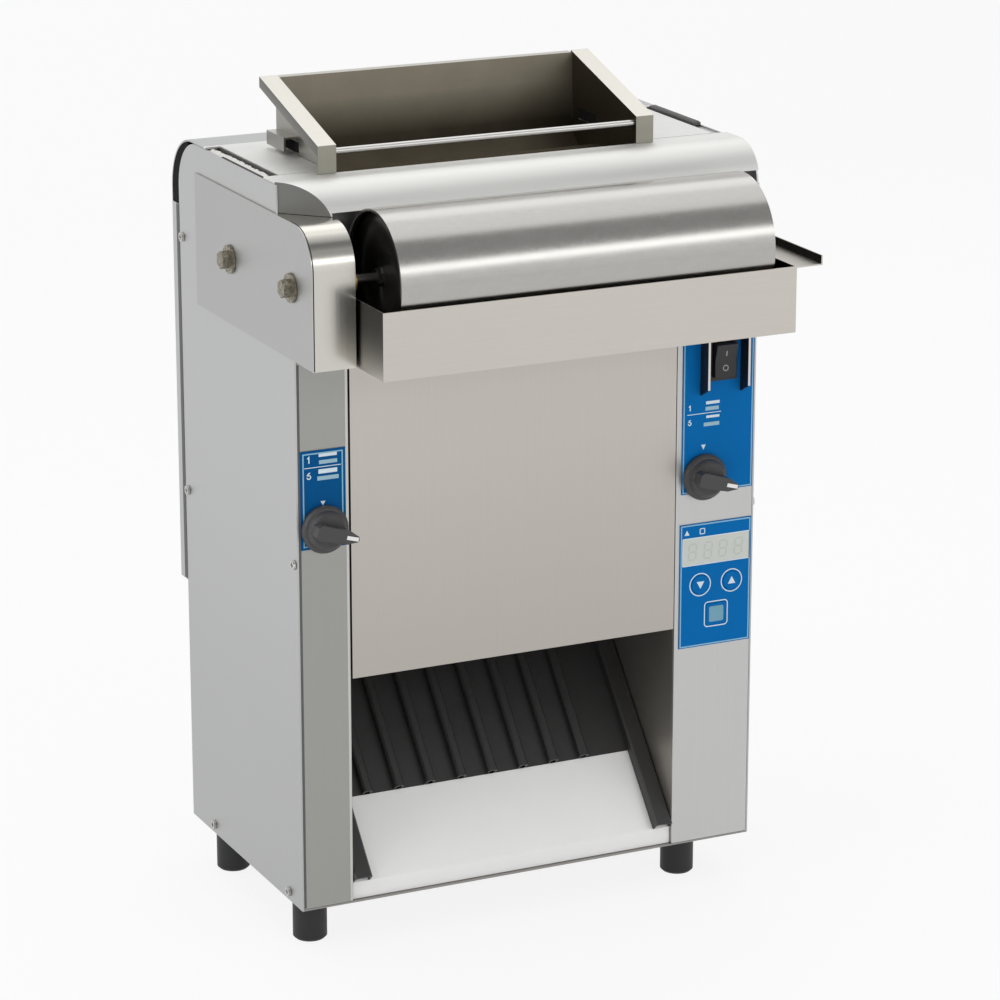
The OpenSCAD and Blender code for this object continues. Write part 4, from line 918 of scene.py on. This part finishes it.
# %% Knob scales
KNOB_Z = 370.0
KNOB_X = {"left": -187.0, "right": 160.5}
PEN, LINE_HALF, ARROW_HALF = 0.9, 0.3, 2.1
SCALES = {  # heights are above the knob's middle
    "right": {"figures": (147.1, 60.4, 48.0, 4.4), "line": (144.7, 176.8, 54.9),
              "thick": [(162.4, 175.3, 62.4, 65.0), (162.8, 175.3, 50.4, 52.6)],
              "grey": [(161.9, 174.6, 57.0, 60.2), (160.4, 175.3, 43.4, 46.6)],
              "arrow": (160.5, 23.2, 27.6)},
    "left": {"figures": (-199.2, 58.3, 45.2, 5.2), "line": (-203.2, -171.2, 51.9),
             "thick": [(-190.4, -174.6, 60.2, 63.0), (-190.8, -174.4, 46.2, 49.8)],
             "grey": [(-190.2, -174.4, 54.2, 57.4), (-191.8, -173.2, 40.6, 44.0)],
             "arrow": (-187.2, 19.4, 23.0)},
}


def knob_scale(marks):
    """The two figures, the line, the thick bars and the arrow of a scale."""
    x, high, low, height = marks["figures"]
    shapes = numeral(1, x, KNOB_Z + high, height, PEN)
    shapes += numeral(6, x, KNOB_Z + low, height, PEN)
    x0, x1, z = marks["line"]
    shapes += bar(x0, x1, KNOB_Z + z - LINE_HALF, KNOB_Z + z + LINE_HALF)
    shapes += bars(marks["thick"])
    x, z0, z1 = marks["arrow"]
    return shapes + [[(x, KNOB_Z + z0), (x + ARROW_HALF, KNOB_Z + z1),
                      (x - ARROW_HALF, KNOB_Z + z1)]]


def bars(rows):
    """Filled bars at their places above the knob."""
    return [shape for x0, x1, z0, z1 in rows for shape in bar(x0, x1, KNOB_Z + z0, KNOB_Z + z1)]


for side, marks in SCALES.items():
    lay_print(side + "_knob_scale", knob_scale(marks), INK["white"], "casing")
    lay_print(side + "_knob_bars", bars(marks["grey"]), INK["bar"], "casing")
print("scales above knobs at", KNOB_X)

# %% [markdown]
# Every label has a pale line just inside its edge. The control label also rings
# its keys and has two small indicator marks. All of these are strokes round the
# CAD pieces' own places.

# %% Label borders and key rings
LABELS = {  # left, right, low and high edge, and the border's inset
    "left_label": (-206.7, -167.3, 353.3, 436.0, 2.6),
    "right_label": (140.3, 207.9, 355.5, 506.5, 1.3),
    "control_label": (139.5, 207.9, 218.5, 328.7, 1.3),
}
BORDER_PEN = 1.1
KEY_RING, START_FRAME, START_CORNER = 9.9, 11.0, 3.0
INDICATOR_TRIANGLE = [(143.6, 319.2), (148.4, 319.2), (146.0, 323.6)]
INDICATOR_SQUARE = (158.6, 163.0, 319.0, 323.6, 0.8, 0.8)
DOWN_KEY, UP_KEY, START_KEY = (159.4, 273.9), (189.6, 273.9), (175.0, 246.2)


def border(x0, x1, z0, z1, inset):
    """A pale line that runs round a label."""
    return stroke([(x0 + inset, z0 + inset), (x1 - inset, z0 + inset),
                   (x1 - inset, z1 - inset), (x0 + inset, z1 - inset)],
                  BORDER_PEN, closed=True)


for label, edges in LABELS.items():
    lay_print(label + "_border", border(*edges), INK["pale"], "casing")

control_marks = ring(*DOWN_KEY, KEY_RING, PEN) + ring(*UP_KEY, KEY_RING, PEN)
control_marks += round_frame(
    START_KEY[0] - START_FRAME, START_KEY[0] + START_FRAME,
    START_KEY[1] - START_FRAME, START_KEY[1] + START_FRAME, START_CORNER, PEN)
control_marks += [INDICATOR_TRIANGLE] + round_frame(*INDICATOR_SQUARE)
lay_print("control_marks", control_marks, INK["white"], "casing")
print("control marks:", len(control_marks), "strokes")

# %% [markdown]
# The unlit display shows four faint figures of seven segments each, behind a
# pale window with a thin frame. The segments are strokes that lean a little,
# laid so thin that they only just show.

# %% Display figures
DISPLAY = (142.2, 206.3, 291.9, 316.0)
DISPLAY_FACE, GHOST_LIFT = -0.6, 0.05
FIGURE_XS, FIGURE_Z = (151.6, 166.6, 180.8, 195.8), 303.8
FIGURE_WIDTH, FIGURE_HEIGHT, SEGMENT_PEN = 7.0, 14.0, 1.3
SEGMENT_LEAN, SEGMENT_GAP = 0.08, 0.6


def seven_segments(x, z):
    """All seven segments of one unlit figure, leaning a little."""
    w, h = FIGURE_WIDTH / 2, FIGURE_HEIGHT / 2
    ends = [((-w, h), (w, h)), ((-w, 0), (w, 0)), ((-w, -h), (w, -h)),
            ((-w, 0), (-w, h)), ((w, 0), (w, h)), ((-w, -h), (-w, 0)),
            ((w, -h), (w, 0))]
    shapes = []
    for (ax, az), (bx, bz) in ends:
        a = Vector((x + ax + SEGMENT_LEAN * az, z + az))
        b = Vector((x + bx + SEGMENT_LEAN * bz, z + bz))
        gap = (b - a).normalized() * SEGMENT_PEN * SEGMENT_GAP
        shapes += stroke([a + gap, b - gap], SEGMENT_PEN)
    return shapes


INK["ghost"] = plain_material("display_segment", (0.52, 0.545, 0.515), 0.35,
                              fleck=0.05, depth=0.0, size=300)
figures = [shape for x in FIGURE_XS for shape in seven_segments(x, FIGURE_Z)]
lay_print("display_figures", figures, INK["ghost"], "casing",
          (0, DISPLAY_FACE, 0), lift=GHOST_LIFT)
lay_print("display_frame", round_frame(*DISPLAY, 0.6, 0.8), INK["white"], "casing")
print("display segments:", len(figures))

# %% [markdown]
# The arrows and the pale square move with their keys, so they ride on the keys'
# bodies and not on the casing. They are filled shapes without any strokes.

# %% Key marks
KEY_FACE = -1.2
START_WINDOW, START_ROUND, LENS_LIFT = 6.9, 1.5, 0.3


def arrow_head(x, z, sign):
    """A filled triangle that points up or down."""
    return [[(x - 3.6, z - 2.8 * sign), (x + 3.6, z - 2.8 * sign), (x, z + 3.6 * sign)]]


for key, place, sign in (("down_key", DOWN_KEY, -1), ("up_key", UP_KEY, 1)):
    lay_print(key + "_arrow", arrow_head(*place, sign), INK["white"],
              key + "_body", (0, KEY_FACE, 0))
INK["lens"] = plain_material("start_key_lens", (0.16, 0.36, 0.48), 0.35,
                             fleck=0.15, depth=0.02, size=700)
window_outline = corner_arcs(
    START_KEY[0] - START_WINDOW, START_KEY[0] + START_WINDOW,
    START_KEY[1] - START_WINDOW, START_KEY[1] + START_WINDOW, START_ROUND, 5)
lay_print("start_key_window", [window_outline], INK["lens"],
          "start_key_body", (0, KEY_FACE, 0), lift=LENS_LIFT)
print("start key window of", len(window_outline), "corners")

# %% [markdown]
# The switch has an I and an O, one on each half of its rocker. The halves slope
# towards the pivot, so each mark is laid on a leaning face, tilted by the same
# angles as in the CAD model, and moves with the rocker.

# %% Rocker marks
ROCKER = Vector((177.0, -0.4, 471.5))
ROCKER_TILT = math.radians(7)
FACE_LEAN = math.atan2(2.2, 14.5)
FACE_DEPTH = 6.8


def rocker_face(height, half):
    """A place on one half of the rocker and the way up along that half."""
    lean = FACE_LEAN * half
    depth = -FACE_DEPTH - abs(height) * math.tan(FACE_LEAN)
    turn = Matrix.Rotation(ROCKER_TILT, 3, "X")
    upward = turn @ Vector((0, -math.sin(lean), math.cos(lean)))
    return turn @ Vector((0, depth, height)) + ROCKER, upward


for mark, shapes, height, half in (
        ("on", bar(-0.6, 0.6, -2.4, 2.4), 6.4, 1),
        ("off", ring(0, 0, 2.3, PEN), -6.6, -1)):
    place, upward = rocker_face(height, half)
    lay_print("rocker_" + mark + "_mark", shapes, INK["rocker"],
              "rocker_body", place, upward=upward)
    print("rocker", mark, "mark at", [round(v, 1) for v in place])

# %% [markdown]
# A white bar at the tip of each knob's pointer shows where it stands. The pointer
# leans 16 degrees below the horizontal, and so does the bar, which turns with it.

# %% Knob marks
POINTER_LEAN = math.radians(16)
KNOB_FACE = -24.0
ALONG = Vector((math.cos(POINTER_LEAN), 0, -math.sin(POINTER_LEAN)))
ACROSS = Vector((math.sin(POINTER_LEAN), 0, math.cos(POINTER_LEAN)))
POINTER_BAR = (11.2, 21.6, -1.6, 1.6)
for side, knob_x in KNOB_X.items():
    lay_print(side + "_knob_mark", bar(*POINTER_BAR), INK["mark"],
              side + "_knob_body", (knob_x, KNOB_FACE, KNOB_Z),
              across=ALONG, upward=ACROSS)
print("knob marks lean", round(math.degrees(POINTER_LEAN)), "degrees")

# %% [markdown]
# Each panel screw has a crossed slot. Cutting it would change a CAD piece, so the
# slots are dark slabs, painted shade for the recess, that lie a hair above the
# plain heads.

# %% Screw slots
SIDE_SCREWS = [(242.0, 563.0), (242.0, 340.0), (6.0, 340.0), (197.0, 48.0), (28.0, 48.0)]
SCREW_HEAD, SLOT_LIFT = 2.5, 0.08
SLOT_REACH, SLOT_HALF = 2.6, 0.45
slot_shade = plain_material("screw_slot", (0.03, 0.028, 0.025), 0.6)
slot_shapes = (bar(-SLOT_REACH, SLOT_REACH, -SLOT_HALF, SLOT_HALF)
               + bar(-SLOT_HALF, SLOT_HALF, -SLOT_REACH, SLOT_REACH))
for side, sign in (("left", -1), ("right", 1)):
    corners, faces = [], []
    for depth, height in SIDE_SCREWS:
        for shape in slot_shapes:
            loop = [((sign * (RIGHT + SCREW_HEAD), depth + a, height + b),
                     Vector((sign, 0, 0))) for a, b in shape]
            slab(loop, SLOT_LIFT, corners, faces)
    add_piece(side + "_screw_slots", corners, faces, slot_shade, "casing")
print("screws with slots:", 2 * len(SIDE_SCREWS))

# %% [markdown]
# Lines show where one sheet ends beside another: along the rear cover, along the
# left column and across the hood. The gaps along the cover and the column are dark
# strips of painted shade, the column's folded edge is a painted highlight, and the
# hood's joints are dark lines. A line in the material would have no thickness, so
# they are thin strips with chamfered edges.

# %% Seams, with painted shade and a painted highlight
COLUMN_LOW, COLUMN_HIGH = 42.5, 508.0
CHAMBER_LEFT = -164.0
COVER_GAP = (249.4, 255.5, 258.0, 589.5)  # its depths and its heights
HOOD_SEAMS = {"left": (-197.0, -168.0), "right": (134.0, 197.0)}
SEAM_Y = 58.0
# Painted shade: these dark strips stand in for the shade in the gaps between sheets.
gap_shade = plain_material("seam_gap_shade", (0.10, 0.10, 0.098), 0.6, fleck=0.2)
edge_dark = plain_material("edge_seal", (0.025, 0.024, 0.022), 0.55)


def strip(name, low, high, material):
    """A long thin strip with chamfered edges, between two corners."""
    (x0, y0, z0), (x1, y1, z1) = low, high
    c = min(x1 - x0, y1 - y0, z1 - z0) * 0.3
    corners = []
    for z, inset in ((z0, c), (z0 + c, 0), (z1 - c, 0), (z1, c)):
        corners += [(x0 + inset, y0 + inset, z), (x1 - inset, y0 + inset, z),
                    (x1 - inset, y1 - inset, z), (x0 + inset, y1 - inset, z)]
    faces = [(0, 1, 2, 3), (12, 13, 14, 15)]
    for level in (0, 4, 8):
        for i in range(4):
            j = (i + 1) % 4
            faces.append((level + i, level + j, level + 4 + j, level + 4 + i))
    add_piece(name, corners, faces, material, "casing")


y0, y1, z0, z1 = COVER_GAP
for side, x0, x1 in (("left", LEFT - 0.25, LEFT + 0.2), ("right", RIGHT - 0.2, RIGHT + 0.25)):
    strip(side + "_cover_gap_shade", (x0, y0, z0), (x1, y1, z1), gap_shade)
strip("left_column_gap_shade", (LEFT + 1.6, -0.25, COLUMN_LOW),
      (LEFT + 3.6, 0.2, COLUMN_HIGH), gap_shade)
# Painted highlight: a bright strip where the column's folded edge catches the light.
strip("left_column_edge_highlight", (CHAMBER_LEFT - 2.8, -0.2, COLUMN_LOW),
      (CHAMBER_LEFT - 0.7, 0.15, COLUMN_HIGH), STOCK["bright"])
for side, (x0, x1) in HOOD_SEAMS.items():
    strip(side + "_hood_seam", (x0 + 0.5, SEAM_Y + 0.15, TOP - 0.5),
          (x1 - 0.5, SEAM_Y + 0.85, TOP - 0.05), edge_dark)
print("strips along the cover, the column and the hood")

# %% [markdown]
# The cap is welded from a side plate and a bent front strip. The weld shows as a
# fine dark line that follows the plate's edge up and round its corner, so a small
# square section is carried along that path.

# %% Weld line of the cap
CAP_FRONT, CAP_LOW, CAP_HIGH, CAP_RADIUS = -43.5, 512.5, 625.0, 34.0
CAP_SIDE, WELD_INSET, WELD_WIDTH, WELD_LIFT = -211.8, 0.5, 1.0, 0.12


def weld_points():
    """The (y, z) path up the front of the cap and round its corner."""
    y, z = CAP_FRONT + CAP_RADIUS, CAP_HIGH - CAP_RADIUS
    path = [(CAP_FRONT, CAP_LOW + 0.5), (CAP_FRONT, z)]
    path += [(y - CAP_RADIUS * math.cos(math.radians(t)),
              z + CAP_RADIUS * math.sin(math.radians(t)))
             for t in range(6, 91, 6)]
    return path + [(-0.6, CAP_HIGH)]


weld_path = weld_points()
corners, faces = [], []
for i, (y, z) in enumerate(weld_path):
    a = Vector(weld_path[max(0, i - 1)])
    b = Vector(weld_path[min(len(weld_path) - 1, i + 1)])
    way = (b - a).normalized()
    for x in (CAP_SIDE + WELD_INSET, CAP_SIDE + WELD_INSET + WELD_WIDTH):
        for lift in (0, WELD_LIFT):
            corners.append((x, y - way.y * lift, z + way.x * lift))
for i in range(len(weld_path) - 1):
    a, b = 4 * i, 4 * (i + 1)
    faces += [(a + 1, a + 3, b + 3, b + 1), (a, a + 1, b + 1, b),
              (a + 2, a + 3, b + 3, b + 2), (a, a + 2, b + 2, b)]
last = 4 * (len(weld_path) - 1)
faces += [(0, 1, 3, 2), (last, last + 1, last + 3, last + 2)]
add_piece("cap_weld_line", corners, faces, edge_dark, "casing")
print("weld line of", len(weld_path), "points")

# %% [markdown]
# A sunk strip runs along both edges of the top. On the left it holds a bead of
# hammered bright metal between two dark lines. Sculpting it could not be
# repeated, so the bead is a grid of points whose heights follow a seeded random
# walk, and its gloss breaks into blotches.

# %% Edge beads on the top
BEAD_START, BEAD_END, BEAD_STEPS, BEAD_ROWS = 59.0, 184.0, 60, 6
BEAD_LEFT, BEAD_RIGHT = LEFT + 1.2, LEFT + 11.8
BEAD_BASE, BEAD_RISE = 647.15, 1.6
random.seed(7)


def hammered_bead(name, material):
    """A low bead with an uneven top."""
    corners, faces = [], []
    wide = BEAD_ROWS + 1
    drift = [0.0] * wide
    for i in range(BEAD_STEPS + 1):
        y = BEAD_START + (BEAD_END - BEAD_START) * i / BEAD_STEPS
        for j in range(wide):
            share = j / BEAD_ROWS
            drift[j] = 0.7 * drift[j] + random.uniform(-0.5, 0.5)
            crown = math.sin(math.pi * share)
            z = BEAD_BASE + BEAD_RISE * crown * (1 + 0.5 * drift[j])
            corners.append((BEAD_LEFT + (BEAD_RIGHT - BEAD_LEFT) * share, y, z))
    for i in range(BEAD_STEPS):
        for j in range(BEAD_ROWS):
            a = i * wide + j
            faces.append((a, a + 1, a + wide + 1, a + wide))
    add_piece(name, corners, faces, material, "casing", smooth=True)


bright_bead = plain_material("hammered_steel", (0.80, 0.79, 0.76), 0.12,
                             metallic=1.0, depth=0.05, size=300)
hammered_bead("left_edge_bead", bright_bead)
strip("left_edge_outer_line", (LEFT + 0.2, 62.0, 647.05), (LEFT + 2.6, 150.0, 648.9), edge_dark)
strip("left_edge_inner_line", (LEFT + 11.6, BEAD_START, 647.05),
      (LEFT + 12.8, BEAD_END, 649.2), edge_dark)
# On the right the sunk strip is a dark bar of painted shade.
strip("right_edge_bar", (RIGHT - 8.0, 102.0, 647.1), (RIGHT - 1.0, 184.0, 651.5), gap_shade)
print("edge beads from", BEAD_START, "to", BEAD_END)

# %% [markdown]
# Dark sheets fill the small windows in the feeder's side plates, as painted shade,
# so that the windows look dark from both sides. They are strips like the gap
# strips, held just inside the windows' edges.

# %% Feeder windows filled with painted shade
FEEDER_LEFT, FEEDER_RIGHT = -152.0, 118.0
WINDOW = (120.0, 154.0, 652.0, 661.0)  # its depths and its heights
SHADE_GAP, SHADE_WIDTH = 0.1, 0.8
y0, y1, z0, z1 = WINDOW
# Painted shade: dark strips stand where the windows show only shade.
for side, x in (("left", FEEDER_LEFT - 1.1), ("right", FEEDER_RIGHT + 0.3)):
    strip(side + "_window_shade", (x, y0 + SHADE_GAP, z0 + SHADE_GAP),
          (x + SHADE_WIDTH, y1 - SHADE_GAP, z1 - SHADE_GAP), STOCK["trim"])
print("window plugs at", FEEDER_LEFT, FEEDER_RIGHT)

# %% [markdown]
# The roller's ends are closed by discs, set in a little, and a thin dark sheet
# lines the inside of each end. Both are near black as painted shade of the
# roller's dark inside. Its open edges are rolled into thin bright rims. All are
# turned shapes, made by carrying a small closed profile round the axis, and they
# turn with the roller.

# %% Roller ends
ROLLER_Y, ROLLER_Z, ROLLER_RADIUS = -33.0, 581.4, 54.5
ROLLER_ENDS = {"left": (-155.0, 1), "right": (177.0, -1)}
ROLLER_RECESS, SHADE_RADIUS, DISC_HOLE, TURN_STEPS = 6.0, 52.3, 8.2, 72
# Painted shade: the discs and the inner sheets are near black for the roller's dark inside.
end_shade = plain_material("roller_end_shade", (0.010, 0.009, 0.008), 0.3,
                           fleck=0.3, depth=0.02, size=400)


def turned_ring(name, profile, material):
    """Turns a closed profile of (x, radius) round the roller's axis."""
    corners, faces = [], []
    count = len(profile)
    for i in range(TURN_STEPS):
        turn = 2 * math.pi * i / TURN_STEPS
        for x, radius in profile:
            corners.append((x, ROLLER_Y + radius * math.cos(turn),
                            ROLLER_Z + radius * math.sin(turn)))
    for i in range(TURN_STEPS):
        here, there = i * count, (i + 1) % TURN_STEPS * count
        for j in range(count):
            k = (j + 1) % count
            faces.append((here + j, here + k, there + k, there + j))
    add_piece(name, corners, faces, material, "roller", smooth=True)


for side, (end, inward) in ROLLER_ENDS.items():
    face = end + inward * ROLLER_RECESS
    turned_ring(side + "_roller_disc",
                [(face - inward * 0.2, DISC_HOLE),
                 (face - inward * 0.2, SHADE_RADIUS),
                 (face - inward * 0.02, SHADE_RADIUS + 0.1),
                 (face - inward * 0.02, DISC_HOLE)], end_shade)
    # A dark sheet inside each end, painted shade of the roller's inside.
    turned_ring(side + "_roller_inner_shade",
                [(end + inward * 0.4, SHADE_RADIUS + 0.15),
                 (end + inward * 0.4, SHADE_RADIUS),
                 (face - inward * 0.1, SHADE_RADIUS),
                 (face - inward * 0.1, SHADE_RADIUS + 0.15)], end_shade)
    rim = [(end + inward * 0.4 * (1 + math.cos(math.radians(t))),
            ROLLER_RADIUS - 0.9 + 0.7 * math.sin(math.radians(t)))
           for t in range(0, 360, 45)]
    turned_ring(side + "_roller_rim", rim, STOCK["turned"])
print("roller ends at", [end for end, _ in ROLLER_ENDS.values()])
